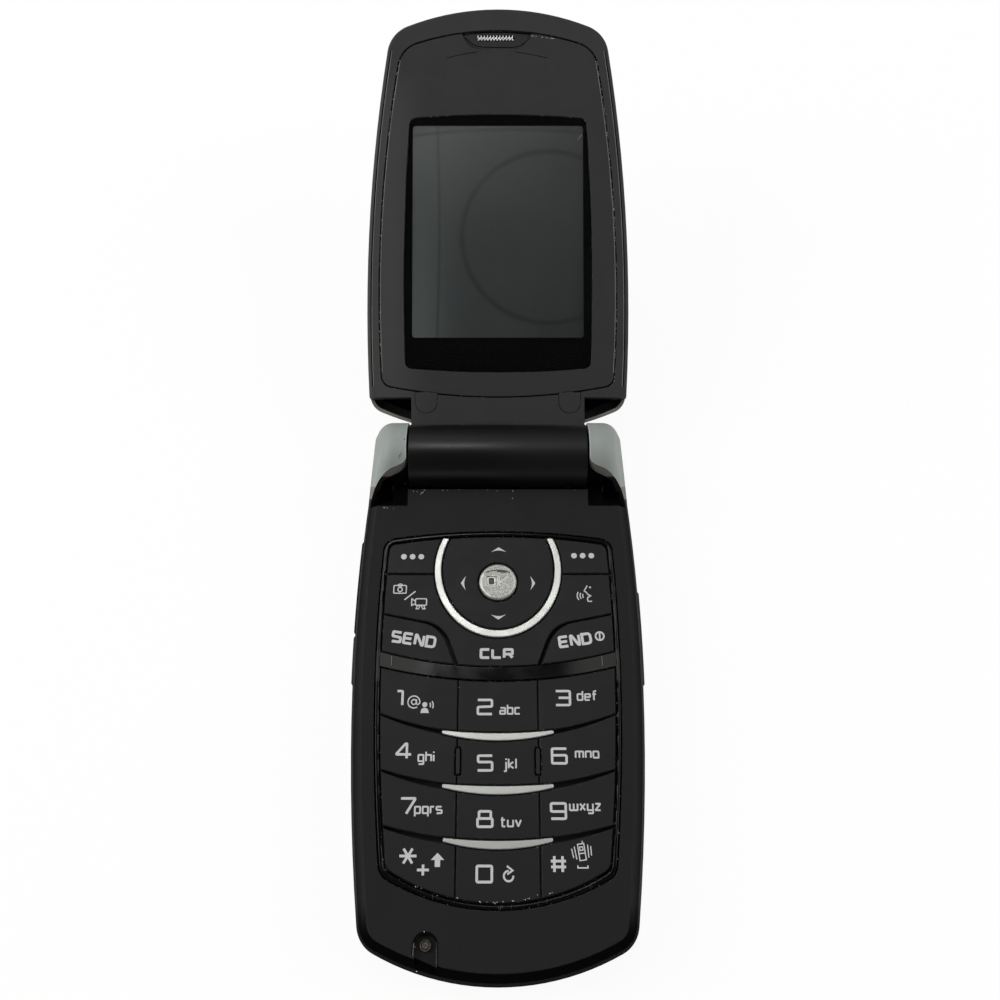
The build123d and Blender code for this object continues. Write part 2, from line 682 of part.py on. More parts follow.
with BuildPart() as nav_pad:
    with BuildSketch(level(pad_bottom)):
        with Locations(ok_centre):
            Circle(pad_r)
            Circle(pad_hole_r, mode=Mode.SUBTRACT)
    extrude(amount=pad_top - pad_bottom)
    for y_span in ((pad_y - 4.5, pad_y - 3.0), (pad_y + 3.0, pad_y + 4.5)):
        block((-ridge, ridge), y_span, (carrier_top, pad_bottom))
save(nav_pad, "nav_pad")

with BuildPart() as ok_key:
    pegs(ok_r, [ok_centre], (ok_bottom, ok_top))
    fillet(ok_key.faces().sort_by(Axis.Z)[-1].edges(), 0.35)
    pegs(stem_r, [ok_centre], (carrier_bottom, ok_bottom))
save(ok_key, "key_ok")

all_stems = [stem for stems in key_stems.values() for stem in stems] + nav_feet + [ok_centre]
rim_out, rim_in = 0.7, -0.4
with BuildPart() as key_carrier:
    slab(recess_plan(rim_out), board_top, carrier_top)
    slab(recess_plan(rim_in), board_top, carrier_bottom, Mode.SUBTRACT)
    slab(rib_plan.sketch, carrier_top, frame_top + 0.1)
    with BuildSketch(level(carrier_bottom)):
        with Locations(*all_stems):
            Circle(stem_r + stem_fit)
    extrude(amount=carrier_top - carrier_bottom, mode=Mode.SUBTRACT)
save(key_carrier, "key_carrier")

with BuildPart() as dome_sheet:
    slab(recess_plan(rim_in - 0.3), board_top, board_top + dome_film)
    with BuildSketch(level(board_top + dome_film)):
        with Locations(*all_stems):
            RegularPolygon(dome_r, 8)
    extrude(amount=dome_height)
save(dome_sheet, "dome_sheet")

board_head = core_front - case_wall - 0.2
with BuildPart() as main_board:
    slab(base_plan(-case_wall - 0.3), board_bottom, board_top)
    block((-base_half, base_half), (board_head, hinge_end), (board_bottom, board_top), Mode.SUBTRACT)
    pegs(boss_r + room, screw_places[2:], (seam_z - 1, roof_z), Mode.SUBTRACT)
save(main_board, "main_board")

# ---- what the base holds ----------------------------------------------------------------
shield_spans = (-6.2, 3.8), (-22.4, -12.0), (3.4, board_bottom)
microphone_place, microphone_r, microphone_height = (6.5, -79.4), 2.0, 1.3

with BuildPart() as shield_can:
    block(*shield_spans)
    fillet(shield_can.edges().filter_by(Axis.Z), 0.6)
save(shield_can, "shield_can")

with BuildPart() as loudspeaker:
    pegs(speaker_r, [speaker_centre], speaker_z)
    chamfer(loudspeaker.faces().sort_by(Axis.Z)[-1].edges(), 0.4)
save(loudspeaker, "loudspeaker")

motor_axis = (motor_y, motor_z - hinge_z)
with BuildPart() as vibration_motor:
    rod(motor_r, motor_x, centre=motor_axis)
    rod(spindle_r, (motor_x[1], weight_x[1]), centre=motor_axis)
save(vibration_motor, "vibration_motor")

with BuildPart() as vibration_weight:
    rod(weight_r, weight_x, centre=motor_axis)
    block(weight_x, (motor_y - 2, motor_y + 2), (motor_z + 0.6, motor_z + 2), Mode.SUBTRACT)
    rod(spindle_r + 0.05, weight_x, centre=motor_axis, mode=Mode.SUBTRACT)
save(vibration_weight, "vibration_weight")

with BuildPart() as antenna:
    block(antenna_x, antenna_y, antenna_z)
    fillet(antenna.edges().filter_by(Axis.Z), 0.8)
save(antenna, "antenna")

with BuildPart() as microphone:
    pegs(microphone_r, [microphone_place], (board_top, board_top + microphone_height))
save(microphone, "microphone")

with BuildPart() as headset_jack:
    block(jack_x, jack_y, jack_z)
    rod(jack_r, (jack_x[0], jack_x[0] + 3.6), centre=(sum(jack_y) / 2, sum(jack_z) / 2 - hinge_z),
        mode=Mode.SUBTRACT)
save(headset_jack, "headset_jack")

with BuildPart() as io_connector:
    block(port_x, port_y, port_z)
    block((port_x[1] - 2.6, port_x[1] + 1), (port_y[0] + 0.5, port_y[1] - 0.5),
          (port_z[0] + 0.4, port_z[1] - 0.4), Mode.SUBTRACT)
    block((port_x[0], port_x[1] - 0.6), (port_y[0] + 1.2, port_y[1] - 1.2),
          (sum(port_z) / 2 - 0.35, sum(port_z) / 2 + 0.35))
save(io_connector, "io_connector")

with BuildPart() as case_screws:
    pegs(screw_head_r, screw_places, screw_head_z)
    pegs(screw_r, screw_places, (screw_head_z[1], screw_tip))
    pegs(front_head_r, [(pocket_x, pocket_y)], (pocket_floor, pocket_floor + front_head))
    pegs(front_screw_r, [(pocket_x, pocket_y)], (pocket_floor - front_screw_depth, pocket_floor))
save(case_screws, "case_screws")

# ---- side pieces ------------------------------------------------------------------------
def side_piece(span, side):
    """A key or a port's cover in the base's side wall."""
    with BuildPart() as piece:
        slab(one_side(side_strip(span, -side_depth, side_proud), side), side_low, side_high)
        outside = piece.faces().sort_by(Axis.X)[-1 if side > 0 else 0]
        chamfer(outside.edges(), side_edge)
    return piece


save(side_piece(rocker_span, -1), "volume_rocker")
save(side_piece(jack_cover_span, -1), "headset_cover")
save(side_piece(port_cover_span, 1), "port_cover")

# ---- hinge ------------------------------------------------------------------------------
module_r, module_x = 3.1, (1.0, 15.7)
with BuildPart() as hinge_module:
    rod(module_r, module_x)
    rod(shaft_r + shaft_fit, (9.0, module_x[1]), mode=Mode.SUBTRACT)
save(hinge_module, "hinge_module")

with BuildPart() as hinge_shaft:
    rod(shaft_r, (9.4, knuckle_half + hinge_reach))
    chamfer(hinge_shaft.faces().sort_by(Axis.X)[0].edges(), 0.3)
save(hinge_shaft, "hinge_shaft")

with BuildPart() as pivot_bush:
    rod(bush_r, (-knuckle_half - hinge_reach, -10.0))
    rod(bush_hole_r, (-knuckle_half - hinge_reach, -10.0), mode=Mode.SUBTRACT)
save(pivot_bush, "pivot_bush")


# ---- lid -------------------------------------------------------------------------------
tab_x, tab_y, tab_r, tab_reach, tab_fit = 13.2, 10.1, 1.95, 1.8, 0.1


def tabs_plan(grow=0.0):
    """The plan of the two covers over the lid's screws, each round at its foot."""
    reach = tab_reach + grow
    with BuildSketch() as plan:
        with Locations((-tab_x, tab_y), (tab_x, tab_y)):
            Circle(tab_r + grow)
        with Locations((-tab_x, tab_y + reach / 2), (tab_x, tab_y + reach / 2)):
            Rectangle(2 * (tab_r + grow), reach)
    return plan.sketch


tab_low, tab_high = -0.85, -0.2
lid_screw_places, lid_screw_r, lid_head_r, lid_head = [(-tab_x, 10.3), (tab_x, 10.3)], 0.6, 1.3, 0.6
lid_screw_tip = -6.6
flex_r, flex_x, flex_low, flex_thick = 1.45, (-9.4, -6.6), -1.8, 0.4

# ---- lid inner case: rim, chin and knuckle -----------------------------------------------
panel_floor, panel_top = -1.2, -0.3
display_half, display_foot, display_head = 18.0, 14.9, 64.8
display_low, display_high = -3.4, lens_top - lens_thick
earpiece_y, earpiece_size, earpiece_thick = 76.2, (13.0, 5.6), 1.9

chin_top, chin_end = lid_face - 0.01, 13.0
with BuildSketch() as chin_profile:
    with BuildLine():
        Polyline((0, chin_top), (chin_end, chin_top), (chin_end, chin_depth), (2.2, chin_depth),
                 (0, -barrel_r), (0, chin_top))
    make_face()
scoop_depth, scoop_slope = 0.45, 40
with BuildSketch() as scoop_plan:
    with BuildLine():
        Polyline([(-7.1, 80.6), (-4.9, 76.8), (4.1, 76.8), (6.6, 80.6)], close=True)
    make_face()
    fillet(scoop_plan.vertices().group_by(Axis.Y)[0], 2.0)


def discs(centres, radius):
    """The plan of equal round discs."""
    with BuildSketch() as plan:
        with Locations(*centres):
            Circle(radius)
    return plan.sketch


def sound_slot(grow=0.0):
    """The plan of the earpiece's slot."""
    with BuildSketch() as plan:
        with Locations(slot_centre):
            SlotOverall(slot_size[0] + 2 * grow, slot_size[1] + 2 * grow)
    return plan.sketch


with BuildPart() as lid_inner_case:
    lid_slab(lid_plan(), lid_seam, lid_face)
    with BuildSketch(LID.offset(lid_seam - 1)) as root:
        with Locations((0, rim_root - 20)):
            Rectangle(60, 40)
    extrude(root.sketch, amount=5, mode=Mode.SUBTRACT)
    top_face = lid_inner_case.faces().filter_by(lambda face: face.normal_at().dot(LID.z_dir) > 0.99)
    fillet([e for e in top_face.edges() if LID.to_local_coords(e.center()).Y > rim_root + 0.1], 0.7)
    with BuildSketch(LID_SIDE.offset(-barrel_half)) as side_view:
        add(chin_profile.sketch)
        Circle(barrel_r)
    extrude(side_view.sketch, amount=2 * barrel_half)
    lid_slab(panel_plan(panel_gap), panel_floor, 2, Mode.SUBTRACT)
    with BuildSketch(LID.offset(lid_seam - 1)) as window_cut:
        with Locations((0, (display_foot + display_head) / 2)):
            Rectangle(2 * display_half + 0.3, display_head - display_foot + 0.3)
    extrude(window_cut.sketch, amount=4, mode=Mode.SUBTRACT)
    lid_slab(tabs_plan(tab_fit), tab_low, 1, Mode.SUBTRACT)
    lid_slab(discs(lid_screw_places, lid_head_r + 0.1), tab_low - lid_head, 1, Mode.SUBTRACT)
    lid_slab(discs(lid_screw_places, lid_screw_r + 0.1), chin_depth - 1, 1, Mode.SUBTRACT)
    lid_slab(sound_slot(), lid_seam - 1, 1, Mode.SUBTRACT)
    # seats of the hinge module, the bush and the flexible cable's way into the lid
    rod(module_r + 0.05, (module_x[0] - 0.3, barrel_half + 1), mode=Mode.SUBTRACT)
    rod(bush_r + shaft_fit, (-barrel_half - 1, -9.7), mode=Mode.SUBTRACT)
    rod(flex_r + 0.15, (-9.8, flex_x[1] + 0.15), mode=Mode.SUBTRACT)
    with BuildSketch(LID.offset(flex_low - 0.12)) as way:
        with Locations((sum(flex_x) / 2, display_foot / 2)):
            Rectangle(flex_x[1] - flex_x[0] + 0.3, display_foot + 0.4)
    extrude(way.sketch, amount=flex_thick + 0.24, mode=Mode.SUBTRACT)
save(lid_inner_case, "lid_inner_case")

# ---- lid outer cover ----------------------------------------------------------------------
cover_floor = -6.9
corner_rim, corner_step = 0.5, 1.2
outer_half, outer_foot, outer_head = 13.5, 13.5, 49.0
outer_round, outer_thick = 5.0, 0.85
camera_y, camera_r, camera_height, socket_size, socket_height = 19.0, 3.4, 2.2, 8.0, 1.2
outer_screen = (24.0, 20.0, 36.0)


def outer_window_plan(grow=0.0):
    """The outline of the window in the lid's outer face."""
    with BuildSketch() as plan:
        with Locations((0, (outer_foot + outer_head) / 2)):
            RectangleRounded(2 * (outer_half + grow), outer_head - outer_foot + 2 * grow,
                             outer_round + grow)
    return plan.sketch


with BuildPart() as lid_outer_cover:
    with BuildSketch(LID.offset(lid_seam)):
        add(lid_plan())
    extrude(amount=-lid_thick - lid_seam, taper=10)
    back = lid_outer_cover.faces().filter_by(lambda face: face.normal_at().dot(LID.z_dir) < -0.99)
    fillet(back.edges(), 1.8)
    lid_slab(lid_plan(-lid_wall - 0.6), cover_floor, lid_seam + 1, Mode.SUBTRACT)
    with BuildSketch(LID.offset(chin_depth - 0.2)) as chin_room:
        Rectangle(2 * barrel_half + 0.5, 2 * chin_end + 0.4)
    extrude(chin_room.sketch, amount=10, mode=Mode.SUBTRACT)
    with BuildSketch(LID.offset(-lid_thick - 1)) as knuckle_room:
        with Locations((0, root_gap - 10)):
            Rectangle(2 * barrel_half + 0.5, 20)
    extrude(knuckle_room.sketch, amount=10, mode=Mode.SUBTRACT)
    # a thin rim round the open corners beside the knuckle
    with BuildSketch(LID.offset(lid_seam - corner_step)) as corner_room:
        add(lid_plan(-corner_rim))
        with Locations((0, rim_root - 20)):
            Rectangle(60, 40, mode=Mode.INTERSECT)
    extrude(corner_room.sketch, amount=corner_step + 1, mode=Mode.SUBTRACT)
    lid_slab(outer_window_plan(0.1), -lid_thick - 1, -lid_thick + outer_thick, Mode.SUBTRACT)
    with BuildSketch(LID.offset(-lid_thick)) as through:
        with Locations((0, outer_screen[2])):
            Rectangle(outer_screen[0] + 0.4, outer_screen[1] + 0.4)
        with Locations((0, camera_y)):
            Circle(camera_r + 0.2)
    extrude(through.sketch, amount=3, mode=Mode.SUBTRACT)
    lid_slab(discs(lid_screw_places, 1.6), cover_floor, chin_depth - 0.1)
    lid_slab(discs(lid_screw_places, lid_screw_r), lid_screw_tip - 0.1, chin_depth, Mode.SUBTRACT)
save(lid_outer_cover, "lid_outer_cover")

with BuildPart() as outer_window:
    lid_slab(outer_window_plan(), -lid_thick, -lid_thick + outer_thick)
save(outer_window, "outer_window")
with BuildPart() as outer_display:
    with BuildSketch(LID.offset(-lid_thick + outer_thick)):
        with Locations((0, outer_screen[2])):
            Rectangle(*outer_screen[:2])
    extrude(amount=2.0)
save(outer_display, "outer_display")
with BuildPart() as camera_module:
    with BuildSketch(LID.offset(-lid_thick + outer_thick)):
        with Locations((0, camera_y)):
            Circle(camera_r)
    extrude(amount=camera_height)
    with BuildSketch(LID.offset(-lid_thick + outer_thick + camera_height)):
        with Locations((0, camera_y)):
            Rectangle(socket_size, socket_size)
    extrude(amount=socket_height)
save(camera_module, "camera_module")

# ---- what the lid's inner face carries ------------------------------------------------------
with BuildPart() as bezel_panel:
    lid_slab(panel_plan(), panel_floor, panel_top)
    lid_slab(lens_plan(0.1), panel_floor - 1, panel_top + 1, Mode.SUBTRACT)
    with BuildSketch(LID.offset(panel_top - scoop_depth)):
        add(scoop_plan.sketch)
    extrude(amount=scoop_depth + 0.1, taper=-scoop_slope, mode=Mode.SUBTRACT)
    lid_slab(sound_slot(), panel_floor - 1, 1, Mode.SUBTRACT)
    lid_slab(tabs_plan(tab_fit), panel_floor - 1, 1, Mode.SUBTRACT)
save(bezel_panel, "bezel_panel")

with BuildPart() as main_lens:
    lid_slab(lens_plan(), lens_top - lens_thick, lens_top)
save(main_lens, "main_lens")
with BuildPart() as main_display:
    with BuildSketch(LID.offset(display_low)):
        with Locations((0, (display_foot + display_head) / 2)):
            Rectangle(2 * display_half, display_head - display_foot)
    extrude(amount=display_high - display_low)
save(main_display, "main_display")

with BuildPart() as earpiece:
    with BuildSketch(LID.offset(lid_seam - earpiece_thick)):
        with Locations((slot_centre[0], earpiece_y)):
            SlotOverall(*earpiece_size)
    extrude(amount=earpiece_thick)
save(earpiece, "earpiece")
with BuildPart() as earpiece_mesh:
    lid_slab(sound_slot(-0.05), panel_floor, panel_floor + 0.3)
save(earpiece_mesh, "earpiece_mesh")

with BuildPart() as lid_screw_covers:
    lid_slab(tabs_plan(), tab_low, tab_high)
save(lid_screw_covers, "lid_screw_covers")
with BuildPart() as lid_screws:
    lid_slab(discs(lid_screw_places, lid_head_r), tab_low - lid_head, tab_low)
    lid_slab(discs(lid_screw_places, lid_screw_r), lid_screw_tip, tab_low - lid_head)
save(lid_screws, "lid_screws")

with BuildPart() as flex_cable:
    rod(flex_r, (-knuckle_half - hinge_reach + 0.4, flex_x[1]))
    with BuildSketch(LID.offset(flex_low)) as strip:
        with Locations((sum(flex_x) / 2, display_foot / 2)):
            Rectangle(flex_x[1] - flex_x[0], display_foot)
    extrude(strip.sketch, amount=flex_thick)
save(flex_cable, "flex_cable")
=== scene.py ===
"""Finishes and fine pieces of an open flip phone, laid out as a Blender add-on.

The frame is +X to the right of the keypad, +Y from its foot towards the lid and +Z out of it.
Lengths in the tables below are millimetres, and MM turns them into metres.
"""

import json
from math import cos, pi, radians, sin

import bmesh
import bpy
import numpy as np
from bpy.props import FloatProperty, FloatVectorProperty, IntProperty, PointerProperty
from bpy.types import Operator, Panel, PropertyGroup
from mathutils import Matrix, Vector


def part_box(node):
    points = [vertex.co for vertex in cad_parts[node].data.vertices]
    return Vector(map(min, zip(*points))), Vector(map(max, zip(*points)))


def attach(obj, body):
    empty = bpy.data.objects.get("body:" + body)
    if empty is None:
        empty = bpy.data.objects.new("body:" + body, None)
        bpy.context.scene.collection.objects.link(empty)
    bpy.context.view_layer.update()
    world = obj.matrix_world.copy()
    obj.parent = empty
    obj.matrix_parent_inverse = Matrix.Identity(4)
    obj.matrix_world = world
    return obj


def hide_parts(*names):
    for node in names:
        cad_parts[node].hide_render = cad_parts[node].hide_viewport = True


bl_info = {
    "name": "Flip phone finishes",
    "version": (1, 0),
    "blender": (4, 5, 0),
    "location": "3D View > Sidebar > Phone",
    "description": "Prints, glazes and finishes the pieces of an open flip phone",
    "category": "Object",
}

MM = 0.001

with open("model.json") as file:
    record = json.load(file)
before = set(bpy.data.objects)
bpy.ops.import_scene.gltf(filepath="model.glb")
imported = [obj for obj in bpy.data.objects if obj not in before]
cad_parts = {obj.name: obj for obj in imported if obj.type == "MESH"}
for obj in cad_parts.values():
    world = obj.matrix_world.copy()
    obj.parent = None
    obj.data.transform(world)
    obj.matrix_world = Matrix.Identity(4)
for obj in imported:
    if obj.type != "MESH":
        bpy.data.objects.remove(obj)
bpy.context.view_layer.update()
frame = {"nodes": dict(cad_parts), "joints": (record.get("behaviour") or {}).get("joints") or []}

LID_JOINT = next(joint for joint in frame["joints"] if joint["name"] == "lid_hinge")
HINGE_Z = LID_JOINT["pos_m"][2]
RISE = radians(180.0 - LID_JOINT["range_deg"][1])
# Below, in millimetres: the middle of the screw's pocket, then heights over the table of the base's
# face and of the keypad's frame, and heights out of the lid of its face, its bezel and its window's back.
POCKET = (-10.95, -80.95)
FACE_TOP = 10.0
FRAME_TOP = 10.2
LID_FACE, BEZEL_FACE, WINDOW_BACK = -0.25, -0.3, -1.32
# How far a lip or a seam reaches into its face, and how much lower a line lies than one it crosses.
SINK = 0.05
HAIR = 0.001
KEY_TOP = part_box("key_one")[1].z
NAV_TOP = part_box("nav_ring")[1].z
OK_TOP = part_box("key_ok")[1].z
OK_CENTRE = (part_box("key_ok")[0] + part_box("key_ok")[1]) / 2


# ---- sizes and colours -------------------------------------------------------------------
def length(label, text, millimetres):
    """A length property whose default is given in millimetres."""
    return FloatProperty(name=label, description=text, default=millimetres * MM, unit="LENGTH",
                         subtype="DISTANCE", precision=5)


def tint(label, text, colour):
    """A colour property."""
    return FloatVectorProperty(name=label, description=text, default=colour, subtype="COLOR",
                               min=0.0, max=1.0, size=3)


class PrintSizes(PropertyGroup):
    """Sizes of the printing on the keys."""
    digit_high: length("Digit height", "Height of a printed digit over its stroke", 2.7)
    digit_wide: length("Digit width", "Width of a printed digit over its stroke", 2.72)
    digit_stroke: length("Digit stroke", "Width of a digit's line", 0.4)
    letter_unit: length("Letter unit", "A quarter of a small letter's height", 0.245)
    letter_stroke: length("Letter stroke", "Width of a small letter's line", 0.27)
    word_unit: length("Word unit", "A quarter of a capital's width", 0.345)
    word_stroke: length("Word stroke", "Width of a capital's line", 0.46)
    icon_stroke: length("Icon stroke", "Width of an icon's line", 0.2)
    ink: length("Ink", "How far the ink stands out of the key", 0.018)


class ScreenSizes(PropertyGroup):
    """Sizes of the main screen behind its window."""
    half: length("Half width", "Half the width of the lit area", 15.9)
    foot: length("Foot", "Hinge axis to the lit area's foot", 22.3)
    head: length("Head", "Hinge axis to the lit area's head", 62.3)
    mask_gap: length("Mask gap", "Window to the black mask", 0.02)
    mask_thick: length("Mask thickness", "Thickness of the black mask", 0.03)


class MeshSizes(PropertyGroup):
    """Sizes of the bright wire in the earpiece's slot."""
    wire: length("Wire", "Diameter of the wire", 0.17)
    pitch: length("Pitch", "Distance between two teeth", 0.585)
    swing: length("Swing", "Height of a tooth", 0.5)


class TrimSizes(PropertyGroup):
    """Sizes of the fine lip lines, which are painted highlights, of the seam lines and of the flecks."""
    # The lip lines are painted highlights along edges.
    lip: length("Lip", "Width of a worn lip", 0.09)
    seam: length("Seam", "Width of a dark seam", 0.2)
    proud: length("Proud", "How far a lip stands out of its face", 0.012)
    fleck: length("Fleck", "Length of a fleck of lint", 0.16)
    seed: IntProperty(name="Seed", description="Which scatter of flecks", default=7, min=0)


class CameraSizes(PropertyGroup):
    """Place of the camera."""
    back: length("Back", "Camera's distance from the hinge axis towards the foot", 73.42)
    high: length("Height", "Camera's height over the table", 166.32)
    tilt: FloatProperty(name="Tilt", description="Camera's tilt from straight down", default=radians(22.578),
                        unit="ROTATION", subtype="ANGLE")
    lens: FloatProperty(name="Lens", description="Focal length for a 36 mm film", default=33.895)
    shift: FloatProperty(name="Shift", description="Sideways shift of the frame", default=0.0021)


class Colours(PropertyGroup):
    """Colours of the finishes."""
    case: tint("Case", "Moulded black of the cases", (0.0145, 0.0145, 0.0146))
    lid: tint("Lid", "Soft black of the lid's inner face", (0.0205, 0.0206, 0.0204))
    key: tint("Keys", "Satin black of the keys", (0.0115, 0.0115, 0.0115))
    gloss: tint("Gloss", "Polished black of the keypad's frame", (0.0012, 0.0012, 0.0012))
    silver: tint("Silver", "Silver paint of the hinge caps", (0.235, 0.257, 0.243))
    plate: tint("Plate", "Plated silver of the strips and the arc", (0.40, 0.41, 0.384))
    ink: tint("Ink", "Printed grey", (0.46, 0.46, 0.455))
    dust: tint("Dust", "Dust and lint in the grooves", (0.62, 0.60, 0.54))
    dirt: tint("Dirt", "Brownish dirt on the metal", (0.20, 0.16, 0.11))
    screen: tint("Screen", "Unlit screen", (0.031, 0.034, 0.034))


# ---- mesh helpers ------------------------------------------------------------------------
class Surfaces:
    """Points and faces gathered from several surfaces, in millimetres."""

    def __init__(self):
        self.points, self.faces, self.count = [], [], 0

    def add(self, points, faces):
        """Append a surface whose faces count from its own first point."""
        self.points.append(np.asarray(points, float))
        self.faces += [tuple(int(i) + self.count for i in face) for face in faces]
        self.count += len(points)


def grid_faces(rows, columns, close_rows=False, close_columns=False):
    """Quads between neighbours of a grid of points, wrapped round where it is closed."""
    i, j = np.meshgrid(np.arange(rows - (not close_rows)), np.arange(columns - (not close_columns)),
                       indexing="ij")
    below, right = (i + 1) % rows, (j + 1) % columns
    corners = [i * columns + j, i * columns + right, below * columns + right, below * columns + j]
    return np.stack(corners, -1).reshape(-1, 4)


def on_base(points):
    """Millimetres of the base's frame to metres."""
    return np.asarray(points, float) * MM


def on_lid(points):
    """Across, along and out of the lid, in millimetres, to metres: a turn by the lid's rise
    about the hinge axis, then a lift to its height."""
    x, y, h = np.asarray(points, float).T * MM
    return np.stack([x, y * cos(RISE) - h * sin(RISE), HINGE_Z + y * sin(RISE) + h * cos(RISE)], -1)


def make_piece(name, surfaces, place, body, look, replaces=(), smooth=False):
    """Build one object from gathered surfaces, put it on its body and give it the finish that
    look names."""
    mesh = bpy.data.meshes.new(name)
    mesh.from_pydata(place(np.concatenate(surfaces.points)).tolist(), [], surfaces.faces)
    work = bmesh.new()
    work.from_mesh(mesh)
    bmesh.ops.recalc_face_normals(work, faces=work.faces)
    work.to_mesh(mesh)
    work.free()
    mesh.polygons.foreach_set("use_smooth", np.full(len(mesh.polygons), smooth))
    mesh.update()
    piece = bpy.data.objects.new(name, mesh)
    bpy.context.scene.collection.objects.link(piece)
    mesh.materials.append(bpy.data.materials[look])
    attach(piece, body)
    if replaces:
        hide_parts(*replaces)
    return piece


def softened(path, radius, steps=5):
    """A path with its inner corners rounded: each corner becomes a curve between two points,
    set back by the radius or by half of the shorter run."""
    path = np.asarray(path, float)
    closed = bool(np.allclose(path[0], path[-1])) and len(path) > 3
    points = path[:-1] if closed else path
    before, after = np.roll(points, 1, 0), np.roll(points, -1, 0)
    back, ahead = before - points, after - points
    run_back, run_ahead = np.linalg.norm(back, axis=1), np.linalg.norm(ahead, axis=1)
    setback = np.minimum(radius, 0.5 * np.minimum(run_back, run_ahead))[:, None]
    start = points + back / run_back[:, None] * setback
    stop = points + ahead / run_ahead[:, None] * setback
    t = np.linspace(0, 1, steps)[None, :, None]
    curve = (1 - t) ** 2 * start[:, None] + 2 * t * (1 - t) * points[:, None] + t ** 2 * stop[:, None]
    if closed:
        ring = curve.reshape(-1, 2)
        return np.concatenate([ring, ring[:1]])
    inner = curve[1:-1].reshape(-1, 2)
    return np.concatenate([points[:1], inner, points[-1:]])


def ribbon(surfaces, path, stroke, low, high):
    """A flat bar along a plane path: a rectangle, as wide as the stroke, carried along the path
    with mitred corners, and closed at its ends. An open bar's top falls by a hair from its start
    to its end, so that it passes cleanly over itself."""
    path = np.asarray(path, float)
    closed = bool(np.allclose(path[0], path[-1]))
    points = path[:-1] if closed else path
    keep = np.linalg.norm(points - np.roll(points, 1, 0), axis=1) > 1e-6
    keep[0] = True
    points = points[keep]
    ahead = np.roll(points, -1, 0) - points
    back = points - np.roll(points, 1, 0)
    if not closed:
        ahead[-1], back[0] = back[-1], ahead[0]
    ahead /= np.linalg.norm(ahead, axis=1)[:, None]
    back /= np.linalg.norm(back, axis=1)[:, None]
    along = ahead + back
    along /= np.maximum(np.linalg.norm(along, axis=1), 1e-6)[:, None]
    across = np.stack([-along[:, 1], along[:, 0]], -1)
    mitre = np.clip((ahead * along).sum(1), 0.45, 1.0)[:, None]
    side = across * (stroke / 2) / mitre
    left, right = points + side, points - side
    level = np.ones((len(points), 1))
    fall = 0.0 if closed else (high - low) / 18
    top = high - fall * np.linspace(0, 1, len(points))[:, None]
    section = [np.hstack([left, level * low]), np.hstack([left, top]),
               np.hstack([right, top]), np.hstack([right, level * low])]
    faces = grid_faces(len(points), 4, close_rows=closed, close_columns=True).tolist()
    if not closed:
        last = 4 * (len(points) - 1)
        faces += [[0, 1, 2, 3], [last + 3, last + 2, last + 1, last]]
    surfaces.add(np.stack(section, 1).reshape(-1, 3), faces)


def plate(surfaces, outline, low, high):
    """A flat plate with a given outline: two equal faces and a wall between them."""
    outline = np.asarray(outline, float)
    count = len(outline)
    level = np.ones((count, 1))
    points = np.concatenate([np.hstack([outline, level * low]), np.hstack([outline, level * high])])
    faces = grid_faces(2, count, close_columns=True).tolist()
    faces += [list(range(count))[::-1], list(range(count, 2 * count))]
    surfaces.add(points, faces)


def through(first, middle, last, steps=40):
    """Points along the circle through three points: its centre is as far from all three."""
    first, middle, last = (np.asarray(point, float) for point in (first, middle, last))
    rows = 2 * np.array([middle - first, last - first])
    centre = np.linalg.solve(rows, [middle @ middle - first @ first, last @ last - first @ first])
    start, half, stop = (np.arctan2(*(point - centre)[::-1]) for point in (first, middle, last))
    turns = np.unwrap([start, half, stop])
    turn = np.linspace(turns[0], turns[2], steps)
    return centre + np.hypot(*(first - centre)) * np.stack([np.cos(turn), np.sin(turn)], -1)


def side_run(side, grow, low, high, steps=60):
    """The bowed right side of a plan, between two heights: an arc through its three points."""
    foot, waist, head = side
    run = through((foot[0] + grow, foot[1]), (waist[0] + grow, waist[1]), (head[0] + grow, head[1]), steps)
    return run[(run[:, 1] >= low) & (run[:, 1] <= high)]


def arc(centre, radius, start, stop, steps=24):
    """Points on a circle's arc between two angles in degrees."""
    turn = np.radians(np.linspace(start, stop, steps))
    return np.stack([centre[0] + radius * np.cos(turn), centre[1] + radius * np.sin(turn)], -1)


def rectangle(left, foot, right, head):
    """A closed path round a rectangle, from its lower left corner."""
    return np.array([(left, foot), (right, foot), (right, head), (left, head), (left, foot)], float)


def turned(points, degrees):
    """Plane points turned about the origin."""
    turn = radians(degrees)
    return np.asarray(points, float) @ np.array([[cos(turn), sin(turn)], [-sin(turn), cos(turn)]])


